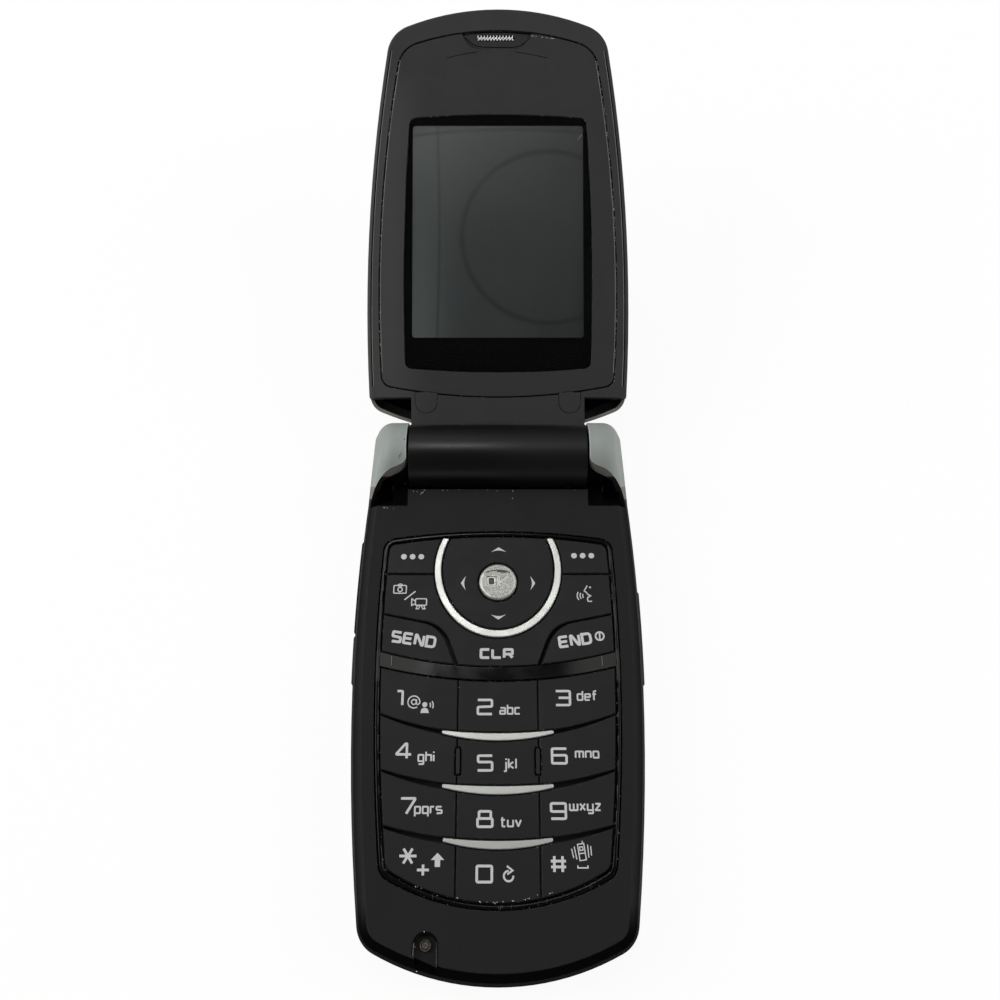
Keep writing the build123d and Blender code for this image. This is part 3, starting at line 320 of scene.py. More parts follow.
# ---- printing: letters and signs as strokes ----------------------------------------------
# Each glyph is a list of strokes on a grid. Digits and capitals are 4 wide and 6 high, small
# letters 3.4 wide and 4 high. A stroke that ends where it starts is closed.
GLYPHS = {
    "0": [[(0, 0), (4, 0), (4, 6), (0, 6), (0, 0)]],
    "1": [[(0.2, 6), (1.7, 6), (1.7, 0)]],
    "2": [[(0, 6), (4, 6), (4, 3.2), (0, 3.0), (0, 0), (4, 0)]],
    "3": [[(0, 6), (4, 6), (4, 0), (0, 0)], [(0.8, 3.1), (4, 3.1)]],
    "4": [[(2.9, 0), (2.9, 6), (2.5, 6), (-0.1, 1.6), (4.1, 1.6)]],
    "5": [[(4, 6), (0.1, 6), (0.1, 3.4), (4, 3.4), (4, 0), (0, 0)]],
    "6": [[(4, 6), (0, 6), (0, 0), (4, 0), (4, 3.3), (0, 3.3)]],
    "7": [[(0, 6), (4, 6), (1.5, 0)]],
    "8": [[(0.4, 6), (3.6, 6), (3.6, 3.2), (0.4, 3.2), (0.4, 6)],
          [(0, 3.2), (4, 3.2), (4, 0), (0, 0), (0, 3.2)]],
    "9": [[(0, 0), (4, 0), (4, 6), (0, 6), (0, 2.8), (4, 2.8)]],
    "a": [[(0.3, 4), (3.4, 4), (3.4, 0), (0, 0), (0, 2.1), (3.4, 2.1)]],
    "b": [[(0, 6), (0, 0), (3.4, 0), (3.4, 4), (0, 4)]],
    "c": [[(3.1, 4), (0, 4), (0, 0), (3.1, 0)]],
    "d": [[(3.4, 6), (3.4, 0), (0, 0), (0, 4), (3.4, 4)]],
    "e": [[(0, 2), (3.4, 2), (3.4, 4), (0, 4), (0, 0), (3.1, 0)]],
    "f": [[(2.6, 6), (0.9, 6), (0.9, 0)], [(0, 4), (2.4, 4)]],
    "g": [[(0.3, -1.9), (3.4, -1.9), (3.4, 4), (0, 4), (0, 0), (3.4, 0)]],
    "h": [[(0, 6), (0, 0)], [(0, 4), (3.4, 4), (3.4, 0)]],
    "i": [[(0, 4), (0, 0)], [(0, 5.3), (0, 6.2)]],
    "j": [[(0, -1.9), (1.4, -1.9), (1.4, 4)], [(1.4, 5.3), (1.4, 6.2)]],
    "k": [[(0, 6), (0, 0)], [(3, 4), (0.2, 2), (3.2, 0)]],
    "l": [[(0, 6), (0, 0)]],
    "m": [[(0, 0), (0, 4), (5, 4), (5, 0)], [(2.5, 4), (2.5, 0)]],
    "n": [[(0, 0), (0, 4), (3.4, 4), (3.4, 0)]],
    "o": [[(0, 0), (3.4, 0), (3.4, 4), (0, 4), (0, 0)]],
    "p": [[(0, -1.9), (0, 4), (3.4, 4), (3.4, 0), (0, 0)]],
    "q": [[(3.4, -1.9), (3.4, 4), (0, 4), (0, 0), (3.4, 0)]],
    "r": [[(0, 0), (0, 4), (2.2, 4)]],
    "s": [[(3.2, 4), (0, 4), (0, 2.1), (3.4, 1.9), (3.4, 0), (0.2, 0)]],
    "t": [[(0.9, 5.6), (0.9, 0), (2.8, 0)], [(0, 4), (2.6, 4)]],
    "u": [[(0, 4), (0, 0), (3.4, 0), (3.4, 4)]],
    "v": [[(0, 4), (1.7, 0), (3.4, 4)]],
    "w": [[(0, 4), (0, 0), (5, 0), (5, 4)], [(2.5, 4), (2.5, 0)]],
    "x": [[(0, 4), (3.2, 0)], [(0, 0), (3.2, 4)]],
    "y": [[(0, 4), (0, 0), (3.4, 0)], [(3.4, 4), (3.4, -1.9), (0.3, -1.9)]],
    "z": [[(0, 4), (3.2, 4), (0, 0), (3.2, 0)]],
    "S": [[(4, 6), (0, 6), (0, 3.2), (4, 2.9), (4, 0), (0, 0)]],
    "E": [[(4, 6), (0, 6), (0, 0), (4, 0)], [(0, 3), (3.7, 3)]],
    "N": [[(0, 0), (0, 6), (0.6, 6), (3.4, 0), (4, 0), (4, 6)]],
    "D": [[(-0.65, 0), (3.1, 0), (4, 0.9), (4, 5.1), (3.1, 6), (-0.65, 6)], [(0, 0), (0, 6)]],
    "C": [[(4, 6), (0, 6), (0, 0), (4, 0)]],
    "L": [[(0, 6), (0, 0), (4, 0)]],
    "R": [[(0, 0), (0, 6), (4, 6), (4, 2.6), (0, 2.6)], [(2.4, 2.6), (4, 0)]],
    "K": [[(0, 6), (0, 0)], [(4, 6), (0.4, 3), (4, 0)]],
    "*": [[(0, 3), (4.6, 3)], [(1.1, 0.2), (3.5, 5.8)], [(1.1, 5.8), (3.5, 0.2)]],
    "#": [[(0, 1.9), (4, 1.9)], [(0, 4.1), (4, 4.1)], [(0.9, 0), (0.9, 6)], [(3.1, 0), (3.1, 6)]],
    "+": [[(0, 3), (4, 3)], [(2, 0.6), (2, 5.4)]],
}
# In units of that grid: the radius of a stroke's corners, and the gap between two letters.
ROUNDING = 0.5
LETTER_GAP = 1.65


def glyph_paths(text, unit_x, unit_y):
    """Paths of a word from its left end, with each letter's strokes rounded and scaled."""
    paths, cursor = [], 0.0
    scale = np.array([unit_x, unit_y])
    for letter in text:
        strokes = [np.array(stroke, float) for stroke in GLYPHS[letter]]
        width = max(stroke[:, 0].max() for stroke in strokes)
        shift = np.array([cursor, 0.0])
        paths += [(softened(stroke, ROUNDING) + shift) * scale for stroke in strokes]
        cursor += width + LETTER_GAP
    return paths


def centred(paths, x, y, angle=0.0):
    """Paths moved so that the middle of their box is at x, y, then turned about it."""
    joined = np.concatenate(paths)
    middle = (joined.min(0) + joined.max(0)) / 2
    return [turned(path - middle, angle) + (x, y) for path in paths]


def print_word(surfaces, text, x, y, unit_x, unit_y, stroke, levels, angle=0.0):
    """Print a word centred at a point, each stroke a little higher than the one it crosses."""
    low, high = levels
    step = (high - low) / 12
    for index, path in enumerate(centred(glyph_paths(text, unit_x, unit_y), x, y, angle)):
        ribbon(surfaces, path, stroke, low, high - step * (index % 4))


class Stamp:
    """Prints lines and filled shapes about one point of a key."""

    def __init__(self, surfaces, x, y, stroke, levels):
        self.surfaces, self.middle, self.stroke = surfaces, (x, y), stroke
        self.low, self.high = levels

    def line(self, path, wide=1.0, under=0):
        """A line as wide as some strokes, whose top is a number of hairs lower than the print's."""
        ribbon(self.surfaces, np.asarray(path, float) + self.middle, self.stroke * wide, self.low,
               self.high - under * HAIR)

    def fill(self, outline):
        """A filled shape."""
        plate(self.surfaces, np.asarray(outline, float) + self.middle, self.low, self.high)


def camera_icon(stamp):
    """A still camera: a body, a small oval on top of it, and its round eye."""
    stamp.line(softened(rectangle(-1.08, -0.7, 1.08, 0.68), 0.12, 3))
    stamp.line(arc((0, 0), 1.0, 0, 360) * (0.36, 0.21) + (0, 0.74), 0.9, under=2)
    stamp.line(arc((0, -0.04), 0.38, 0, 360), under=3)


def film_icon(stamp):
    """A film camera: a rounded box with a flared lens to the left and two splayed feet."""
    stamp.line(softened(rectangle(-0.95, -0.42, 0.95, 0.74), 0.22, 4))
    stamp.line([(-0.98, 0.33), (-1.6, 0.72), (-1.6, -0.46), (-0.95, -0.12)], under=2)
    stamp.line([(-0.62, -0.5), (-0.8, -1.05), (-0.4, -1.05), (-0.18, -0.5), (0.1, -0.5), (0.3, -1.05),
                (0.74, -1.05), (0.5, -0.5)], 0.9, under=3)


def voice_icon(stamp):
    """A plain mark for speech: a face in profile with its eye, and three waves before its mouth."""
    stamp.line(softened([(0.32, 1.6), (-0.28, 0.6), (0.14, 0.42), (0.35, 0.0), (0.94, -0.24), (0.31, -0.5),
                         (0.31, -1.2), (1.05, -1.22)], 0.16, 4))
    stamp.fill(arc((0.8, 1.29), 0.17, 0, 330, 12))
    for wave in (((-0.45, 0.07), (-0.52, -0.25), (-0.38, -0.57)),
                 ((-0.84, 0.28), (-0.98, -0.21), (-0.77, -0.77)),
                 ((-1.26, 0.45), (-1.47, -0.21), (-1.19, -0.98))):
        stamp.line(through(*wave, 8))


def person_icon(stamp):
    """A head and shoulders with two sound waves."""
    stamp.fill(arc((-0.45, 0.42), 0.42, 0, 345, 20))
    stamp.fill([(-1.15, -0.95), (0.25, -0.95), (0.1, -0.35), (-0.25, -0.12), (-0.65, -0.12), (-1.0, -0.35)])
    for radius in (0.75, 1.2):
        stamp.line(arc((-0.25, 0.3), radius, -24, 34, 8))


def at_icon(stamp):
    """The at sign: a small round a whose stem hooks up into the ring about it."""
    stamp.line(arc((0, 0), 0.4, 0, 360))
    hook = [(0.42, 0.42), (0.42, -0.28), (0.62, -0.42), (0.86, -0.3)]
    stamp.line(np.concatenate([hook, arc((0, 0), 0.98, -8, 305, 30)]), under=3)


def arrow_icon(stamp):
    """A solid arrow that points up."""
    stamp.fill([(-0.42, -1.0), (0.42, -1.0), (0.42, 0.0), (1.05, 0.0), (0.0, 1.05), (-1.05, 0.0),
                (-0.42, 0.0)])


def redo_icon(stamp):
    """A round arrow: most of a ring with a head at its upper end."""
    stamp.line(arc((0, -0.3), 0.74, 88, 365), 1.5)
    stamp.line([(-0.25, 1.15), (0.62, 0.5), (-0.2, -0.05)], 1.4, under=3)


def shake_icon(stamp):
    """A small phone that shakes: a leaning body with its screen and keys, and waves beside it."""
    lean, wide = 8, 0.85
    body = (rectangle(-0.5, -1.2, 0.5, 1.2), [(-0.5, -0.2), (0.5, -0.2)],
            rectangle(-0.25, 0.25, 0.25, 0.75), [(0.3, 1.3), (0.3, 1.6)])
    for order, path in enumerate(body, 1):
        stamp.line(turned(path, lean), wide, under=2 * order)
    for side in (-1, 1):
        for reach, half in ((0.95, 0.95), (1.4, 0.7)):
            wave = [(side * reach, -half), (side * (reach + 0.1), half)]
            stamp.line(turned(wave, lean), wide, under=2 * len(body))


def power_icon(stamp):
    """A ring with an upright bar in it."""
    stamp.line(arc((0, 0), 0.7, 0, 360), 1.4)
    stamp.line([(0, -0.6), (0, 0.6)], 1.4, under=3)


def bracket_icon(stamp):
    """The mark for a space."""
    stamp.line([(-0.78, 0.2), (-0.78, -0.15), (0.78, -0.15), (0.78, 0.2)])


def slash_icon(stamp):
    """A slanted line."""
    stamp.line([(-0.94, -0.77), (0.94, 0.77)], 1.1)


def dots_icon(stamp):
    """Three round dots in a row."""
    for step in (-1, 0, 1):
        stamp.fill(arc((1.52 * step, 0), 0.5, 0, 345, 24))


def chevron_icon(stamp, turn):
    """A pointed bow with tapering ends: an arched outer edge over a flatter inner one."""
    t = np.linspace(-1, 1, 13)
    outer = np.stack([1.3 * t, 0.88 * (1 - np.abs(t) ** 1.08)], -1)
    inner = np.stack([1.3 * t, 0.3 * (1 - np.abs(t) ** 1.7)], -1)[::-1]
    stamp.fill(turned(np.concatenate([outer, inner[1:-1]]) - (0, 0.35), turn))


ICONS = {"camera": camera_icon, "film": film_icon, "voice": voice_icon, "person": person_icon,
         "at": at_icon, "arrow": arrow_icon, "redo": redo_icon, "shake": shake_icon, "power": power_icon,
         "bracket": bracket_icon, "slash": slash_icon, "dots": dots_icon}

# What stands on each key: the kind of print, its text or icon, its middle, and its turn.
PRINTS = {
    "key_soft_left": [("icon", "dots", -14.95, -19.23, 0)],
    "key_soft_right": [("icon", "dots", 14.86, -19.04, 0)],
    "key_function": [("icon", "camera", -16.91, -25.18, 0), ("icon", "slash", -15.15, -26.3, 0),
                     ("icon", "film", -13.22, -27.62, 0), ("icon", "voice", 15.14, -26.12, 0),
                     ("caps", "CLR", -0.2, -36.45, 0)],
    "key_send": [("word", "SEND", -14.25, -34.0, -8.5)],
    "key_end": [("word", "END", 13.05, -34.15, 8.0), ("icon", "power", 17.25, -33.45, 0)],
    "key_one": [("digit", "1", -16.19, -43.9, 0), ("icon", "at", -13.86, -44.55, 0),
                ("icon", "person", -11.6, -45.4, 0)],
    "key_two": [("digit", "2", -2.14, -45.37, 0), ("small", "abc", 1.97, -45.75, 0)],
    "key_three": [("digit", "3", 10.74, -43.9, 0), ("small", "def", 14.72, -43.5, 0)],
    "key_four": [("digit", "4", -15.2, -52.43, 0), ("small", "ghi", -11.6, -53.5, 0)],
    "key_five": [("digit", "5", -2.09, -54.32, 0), ("small", "jkl", 1.95, -54.6, 0)],
    "key_six": [("digit", "6", 9.91, -53.22, 0), ("small", "mno", 14.4, -53.0, 0)],
    "key_seven": [("digit", "7", -14.25, -60.92, 0), ("small", "pqrs", -11.0, -61.75, 0)],
    "key_eight": [("digit", "8", -2.05, -62.88, 0), ("small", "tuv", 2.05, -63.3, 0)],
    "key_nine": [("digit", "9", 9.57, -61.68, 0), ("small", "wxyz", 13.8, -61.3, 0)],
    "key_star": [("digit", "*", -13.98, -68.33, 0), ("sign", "+", -11.58, -70.35, 0),
                 ("icon", "arrow", -9.37, -68.91, 0)],
    "key_zero": [("digit", "0", -2.1, -70.93, 0), ("icon", "redo", 1.65, -70.93, 0)],
    "key_hash": [("digit", "#", 9.38, -69.49, 0), ("icon", "shake", 13.06, -67.75, 0),
                 ("icon", "bracket", 13.15, -69.9, 0)],
}
NAV_MARKS = [(0.14, -17.98, 0), (0.07, -29.99, 180), (-5.9, -24.04, 90), (5.95, -24.04, -90)]


# ---- shader helpers ----------------------------------------------------------------------
def feed(tree, socket, value):
    """Give a socket a link, or a value of its own."""
    if isinstance(value, bpy.types.NodeSocket):
        tree.links.new(value, socket)
    else:
        socket.default_value = value


def add_node(tree, kind, inputs=None, **settings):
    """Add a node, set its options, and give its sockets values or links."""
    made = tree.nodes.new(kind)
    for key, value in settings.items():
        setattr(made, key, value)
    for socket, value in (inputs or {}).items():
        feed(tree, made.inputs[socket], value)
    return made


def calculate(tree, operation, *values, clamp=False):
    """A Math node's output."""
    made = add_node(tree, "ShaderNodeMath", dict(enumerate(values)), operation=operation, use_clamp=clamp)
    return made.outputs[0]


def times(tree, *values):
    """Values multiplied together."""
    product = values[0]
    for value in values[1:]:
        product = calculate(tree, "MULTIPLY", product, value)
    return product


def remap(tree, value, low, high, to_low=0.0, to_high=1.0):
    """A value spread from one range to another, with soft ends."""
    made = add_node(tree, "ShaderNodeMapRange", {"Value": value, "From Min": low, "From Max": high,
                                                 "To Min": to_low, "To Max": to_high},
                    interpolation_type="SMOOTHSTEP")
    return made.outputs["Result"]


def between(tree, place, start, stop, low=0.0, high=1.0):
    """A mask that goes from low to high between two places in millimetres."""
    return remap(tree, place, start * MM, stop * MM, low, high)


def split(tree, vector):
    """A vector's three parts."""
    return add_node(tree, "ShaderNodeSeparateXYZ", {0: vector}).outputs


def flatten(tree, point):
    """A point brought down to its own plane: its third part becomes nought."""
    return add_node(tree, "ShaderNodeVectorMath", {0: point, 1: (1, 1, 0)}, operation="MULTIPLY").outputs[0]


def ring_mark(tree, point, centre, radius, width):
    """The mask of a thin ring, or of a spot where the radius is nought, in millimetres."""
    return use_group(tree, "ring", {"Point": point, "Centre": tuple(part * MM for part in centre),
                                    "Radius": radius * MM, "Width": width * MM})["Mask"]


def blend_colours(tree, mask, first, second):
    """Two colours mixed by a mask."""
    made = add_node(tree, "ShaderNodeMix", {"Factor": mask}, data_type="RGBA")
    feed(tree, made.inputs[6], first)
    feed(tree, made.inputs[7], second)
    return made.outputs[2]


def solid(colour, factor=1.0):
    """A colour with its alpha, made lighter or darker."""
    return (colour[0] * factor, colour[1] * factor, colour[2] * factor, 1.0)


def grey(level):
    """A neutral colour."""
    return (level, level, level)


def open_group(name, inputs, outputs):
    """A new shader node group with named sockets: a Float for a number, a Vector for three."""
    tree = bpy.data.node_groups.new(name, "ShaderNodeTree")
    for label, default in inputs.items():
        kind = "NodeSocketVector" if isinstance(default, tuple) else "NodeSocketFloat"
        socket = tree.interface.new_socket(name=label, in_out="INPUT", socket_type=kind)
        socket.default_value = default
    for label in outputs:
        tree.interface.new_socket(name=label, in_out="OUTPUT", socket_type="NodeSocketFloat")
    return tree, tree.nodes.new("NodeGroupInput").outputs, tree.nodes.new("NodeGroupOutput").inputs


def object_point(tree):
    """The point on the piece, in metres of the shared frame."""
    return add_node(tree, "ShaderNodeTexCoord").outputs["Object"]


def lid_point(tree):
    """The point on the piece across, along and out of the lid, in metres."""
    lowered = add_node(tree, "ShaderNodeMapping", {"Vector": object_point(tree),
                                                   "Location": (0, 0, -HINGE_Z)}, vector_type="POINT")
    level = add_node(tree, "ShaderNodeMapping", {"Vector": lowered.outputs[0], "Rotation": (-RISE, 0, 0)},
                     vector_type="POINT")
    return level.outputs[0]


def recess_shade_mask(tree):
    """Painted shade in the open corners under the hinge caps, where the caps shade the case."""
    x, y, _ = split(tree, object_point(tree))
    beside = calculate(tree, "GREATER_THAN", calculate(tree, "ABSOLUTE", x), 16.2 * MM)
    return times(tree, beside, between(tree, y, -9.6, -9.5))


def foot_shade_mask(tree):
    """Painted shade on the slope at the foot of the base's face, which faces away from the light, but not on
    the floor of the screw's pocket.
    """
    x, y, z = split(tree, object_point(tree))
    below = between(tree, z, 9.93, 9.85)
    aside = calculate(tree, "SUBTRACT", x, POCKET[0] * MM)
    within = calculate(tree, "LESS_THAN", calculate(tree, "ABSOLUTE", aside), 1.72 * MM)
    edge = calculate(tree, "ADD", y, times(tree, aside, 0.394))
    floor = times(tree, within, between(tree, edge, -83.35, -83.15))
    below = calculate(tree, "SUBTRACT", below, floor, clamp=True)
    return times(tree, below, between(tree, y, -74.0, -80.0))


def edge_shade_mask(tree):
    """Painted shade on the rounded long edges of the base's face, darker the further down they turn from the
    light.
    """
    x, _, z = split(tree, object_point(tree))
    beside = calculate(tree, "GREATER_THAN", calculate(tree, "ABSOLUTE", x), 20.8 * MM)
    return times(tree, beside, between(tree, z, 10.0, 8.6, 0.0, 0.9))


def knuckle_and_shade_mask(tree):
    """The lid's knuckle, glossier and painted near black, and painted shade up to a bowed line a little way
    onto its face, where a cove would shade it.
    """
    x, y, _ = split(tree, object_point(tree))
    bow = times(tree, x, x, 6.0)
    line = calculate(tree, "ADD", calculate(tree, "ADD", y, bow), -5.6 * MM)
    return between(tree, line, 1.1, -1.5)


def rub_mask(tree):
    """The part of the knuckle that handling has polished; it keeps the knuckle's near black, with its painted
    shade.
    """
    x = split(tree, object_point(tree))[0]
    off = calculate(tree, "ABSOLUTE", calculate(tree, "ADD", x, 8.0 * MM))
    return times(tree, knuckle_and_shade_mask(tree), between(tree, off, 15.0, 2.0))


def cut_mask(tree):
    """The cut front edge of a hinge cap, which faces the foot and leans little."""
    _, y, z = split(tree, add_node(tree, "ShaderNodeTexCoord").outputs["Normal"])
    forward = remap(tree, y, -0.12, -0.22)
    return times(tree, forward, remap(tree, z, 0.5, 0.4))


def cap_sides(tree):
    """How far a point of a hinge cap lies towards its toe, whether its surface faces away from
    the middle, and whether it faces the middle."""
    x, y, z = split(tree, object_point(tree))
    normal = add_node(tree, "ShaderNodeTexCoord").outputs["Normal"]
    across = times(tree, x, split(tree, normal)[0])
    lean = times(tree, calculate(tree, "SUBTRACT", z, 9.0 * MM), 0.467)
    drop = times(tree, calculate(tree, "ADD", y, lean), -1.0)
    return drop, calculate(tree, "GREATER_THAN", across, 0.0), calculate(tree, "LESS_THAN", across, -4.0 * MM)


def flank_mask(tree):
    """The lower outer flank of a hinge cap, which is painted darker and browner."""
    drop, outside, _ = cap_sides(tree)
    return times(tree, outside, between(tree, drop, 5.3, 5.5))


def toe_shade_mask(tree):
    """Painted shade on the foot of a hinge cap, which lies in the shadow of the recess, and on its hollow
    side.
    """
    drop, _, inside = cap_sides(tree)
    hollow = times(tree, inside, between(tree, drop, 3.0, 3.5))
    return calculate(tree, "MAXIMUM", hollow, between(tree, drop, 7.8, 8.0))


# Each nick's middle and radius.
CAP_MARKS = [((-17.5, -2.79, 15.79), 0.1), ((-17.31, -2.45, 15.95), 0.16), ((-17.1, -2.1, 16.09), 0.12),
             ((-16.57, 0.57, 16.42), 0.13)]


def nick_mask(tree):
    """Small dark nicks in a hinge cap's paint."""
    total = 0.0
    for centre, radius in CAP_MARKS:
        spot = ring_mark(tree, object_point(tree), centre, 0.0, 2 * radius)
        total = calculate(tree, "MAXIMUM", total, spot)
    return total


def screw_gap_shade_mask(tree):
    """Painted shade in the ring between a worn screw's head and the rim of its seat, and on the seat outside
    it.
    """
    flat = flatten(tree, object_point(tree))
    rings = [ring_mark(tree, flat, (*POCKET, 0.0), radius, width)
             for radius, width in ((0.59, 0.11), (0.92, 0.12))]
    return remap(tree, calculate(tree, "MAXIMUM", *rings), 0.0, 0.35)


def bar_mask(tree):
    """The ends of the bar across the keypad, painted lighter and rougher than its middle."""
    x, y, _ = split(tree, object_point(tree))
    ends = remap(tree, calculate(tree, "ABSOLUTE", x), 9.5 * MM, 16.0 * MM)
    below = between(tree, y, -35.6, -36.2)
    above = between(tree, y, -41.5, -40.5)
    return times(tree, ends, below, above)


def scoop_shade_mask(tree):
    """Painted shade in the hollow round the earpiece's slot."""
    x, y, _ = split(tree, lid_point(tree))
    off = calculate(tree, "ABSOLUTE", calculate(tree, "ADD", x, 0.05 * MM))
    bowl = times(tree, off, off, 50.0)
    return between(tree, calculate(tree, "SUBTRACT", y, bowl), 76.85, 77.3)


def left_light_mask(tree):
    """Painted light on the left side of the bezel, which the light reaches first."""
    x, y, _ = split(tree, lid_point(tree))
    left = between(tree, x, -12.0, -20.0)
    return times(tree, left, between(tree, y, 76.0, 62.0, 0.0, 0.55))


def rim_mask(tree):
    """The cover's bare rim at the lid's two root corners."""
    _, y, h = split(tree, lid_point(tree))
    low = between(tree, y, 14.5, 12.0)
    return times(tree, low, calculate(tree, "GREATER_THAN", h, -2.75 * MM))


def grain_group():
    """Fine grain of moulded plastic, and slow changes of tone from handling."""
    tree, given, out = open_group("moulded_grain", {"Grain": 5200.0, "Patch": 160.0}, ["Height", "Tone"])
    point = object_point(tree)
    fine = add_node(tree, "ShaderNodeTexNoise", {"Vector": point, "Scale": given["Grain"], "Detail": 2.0,
                                                 "Roughness": 0.6})
    slow = add_node(tree, "ShaderNodeTexNoise", {"Vector": point, "Scale": given["Patch"], "Detail": 5.0,
                                                 "Roughness": 0.62, "Distortion": 0.6})
    tree.links.new(fine.outputs["Fac"], out["Height"])
    tree.links.new(remap(tree, slow.outputs["Fac"], 0.3, 0.72), out["Tone"])
    return tree


def wear_and_highlight_group():
    """Worn edges and painted highlights on edges: where a rounded normal leaves the true one, broken up by
    noise.
    """
    tree, given, out = open_group("edge_wear_and_highlight", {"Radius": 0.0002, "Breakup": 900.0, "Cover": 0.45}, ["Mask"])
    rounded = add_node(tree, "ShaderNodeBevel", {"Radius": given["Radius"]}, samples=6)
    true = add_node(tree, "ShaderNodeNewGeometry").outputs["True Normal"]
    match = add_node(tree, "ShaderNodeVectorMath", {0: rounded.outputs[0], 1: true}, operation="DOT_PRODUCT")
    noise = add_node(tree, "ShaderNodeTexNoise", {"Vector": object_point(tree), "Scale": given["Breakup"],
                                                  "Detail": 4.0})
    edge = remap(tree, match.outputs["Value"], 0.999, 0.9)
    broken = remap(tree, noise.outputs["Fac"], given["Cover"], calculate(tree, "ADD", given["Cover"], 0.17))
    tree.links.new(times(tree, edge, broken), out["Mask"])
    return tree


def dust_group():
    """Specks of dust that gather in grooves: small cells, kept where the surface is shaded."""
    tree, given, out = open_group("crevice_dust", {"Reach": 0.0006, "Cells": 2300.0, "Share": 0.22}, ["Mask"])
    shade = add_node(tree, "ShaderNodeAmbientOcclusion", {"Distance": given["Reach"]}, samples=6)
    cells = add_node(tree, "ShaderNodeTexVoronoi", {"Vector": object_point(tree), "Scale": given["Cells"],
                                                    "Randomness": 1.0})
    spot = remap(tree, cells.outputs["Distance"], 0.34, 0.2)
    chance = add_node(tree, "ShaderNodeSeparateColor", {0: cells.outputs["Color"]}).outputs[0]
    kept = calculate(tree, "LESS_THAN", chance, given["Share"])
    hollow = remap(tree, shade.outputs["AO"], 0.75, 0.35)
    tree.links.new(times(tree, spot, kept, hollow), out["Mask"])
    return tree


def scratch_group():
    """Fine scratches: thin lines of a stretched, bent pattern, kept in a few places."""
    tree, given, out = open_group("fine_scratches", {"Turn": (0.0, 0.0, 0.6), "Scale": 900.0, "Share": 0.6},
                                  ["Mask"])
    turned = add_node(tree, "ShaderNodeMapping", {"Vector": object_point(tree), "Rotation": given["Turn"],
                                                  "Scale": (1.0, 0.06, 0.3)})
    lines = add_node(tree, "ShaderNodeTexNoise", {"Vector": turned.outputs[0], "Scale": given["Scale"],
                                                  "Detail": 1.0, "Distortion": 0.3})
    place = add_node(tree, "ShaderNodeTexNoise", {"Vector": object_point(tree), "Scale": 180.0})
    thin = remap(tree, calculate(tree, "ABSOLUTE", calculate(tree, "SUBTRACT", lines.outputs["Fac"], 0.5)),
                 0.012, 0.002)
    kept = calculate(tree, "GREATER_THAN", place.outputs["Fac"], given["Share"])
    tree.links.new(times(tree, thin, kept), out["Mask"])
    return tree


def ring_group():
    """A faint round mark: a thin band at one distance from a point."""
    tree, given, out = open_group("round_mark", {"Point": (0.0, 0.0, 0.0), "Centre": (0.0, 0.0, 0.0),
                                                 "Radius": 0.0162, "Width": 0.0003}, ["Mask"])
    away = add_node(tree, "ShaderNodeVectorMath", {0: given["Point"], 1: given["Centre"]},
                    operation="DISTANCE")
    off = calculate(tree, "ABSOLUTE", calculate(tree, "SUBTRACT", away.outputs["Value"], given["Radius"]))
    tree.links.new(remap(tree, calculate(tree, "DIVIDE", off, given["Width"]), 1.0, 0.0), out["Mask"])
    return tree


GROUPS = {"grain": grain_group, "wear_and_highlight": wear_and_highlight_group, "dust": dust_group, "scratches": scratch_group,
          "ring": ring_group}


def use_group(tree, name, inputs=None):
    """Place a shared group in a material, building it the first time."""
    made = tree.nodes.new("ShaderNodeGroup")
    key = "phone_" + name
    if key not in bpy.data.node_groups:
        group = GROUPS[name]()
        group.name = key
    made.node_tree = bpy.data.node_groups[key]
    for socket, value in (inputs or {}).items():
        feed(tree, made.inputs[socket], value)
    return made.outputs


def open_material(name):
    """A new material's tree and its Principled shader. The material is found again by its name."""
    material = bpy.data.materials.new(name)
    material.use_nodes = True
    return material.node_tree, material.node_tree.nodes["Principled BSDF"]


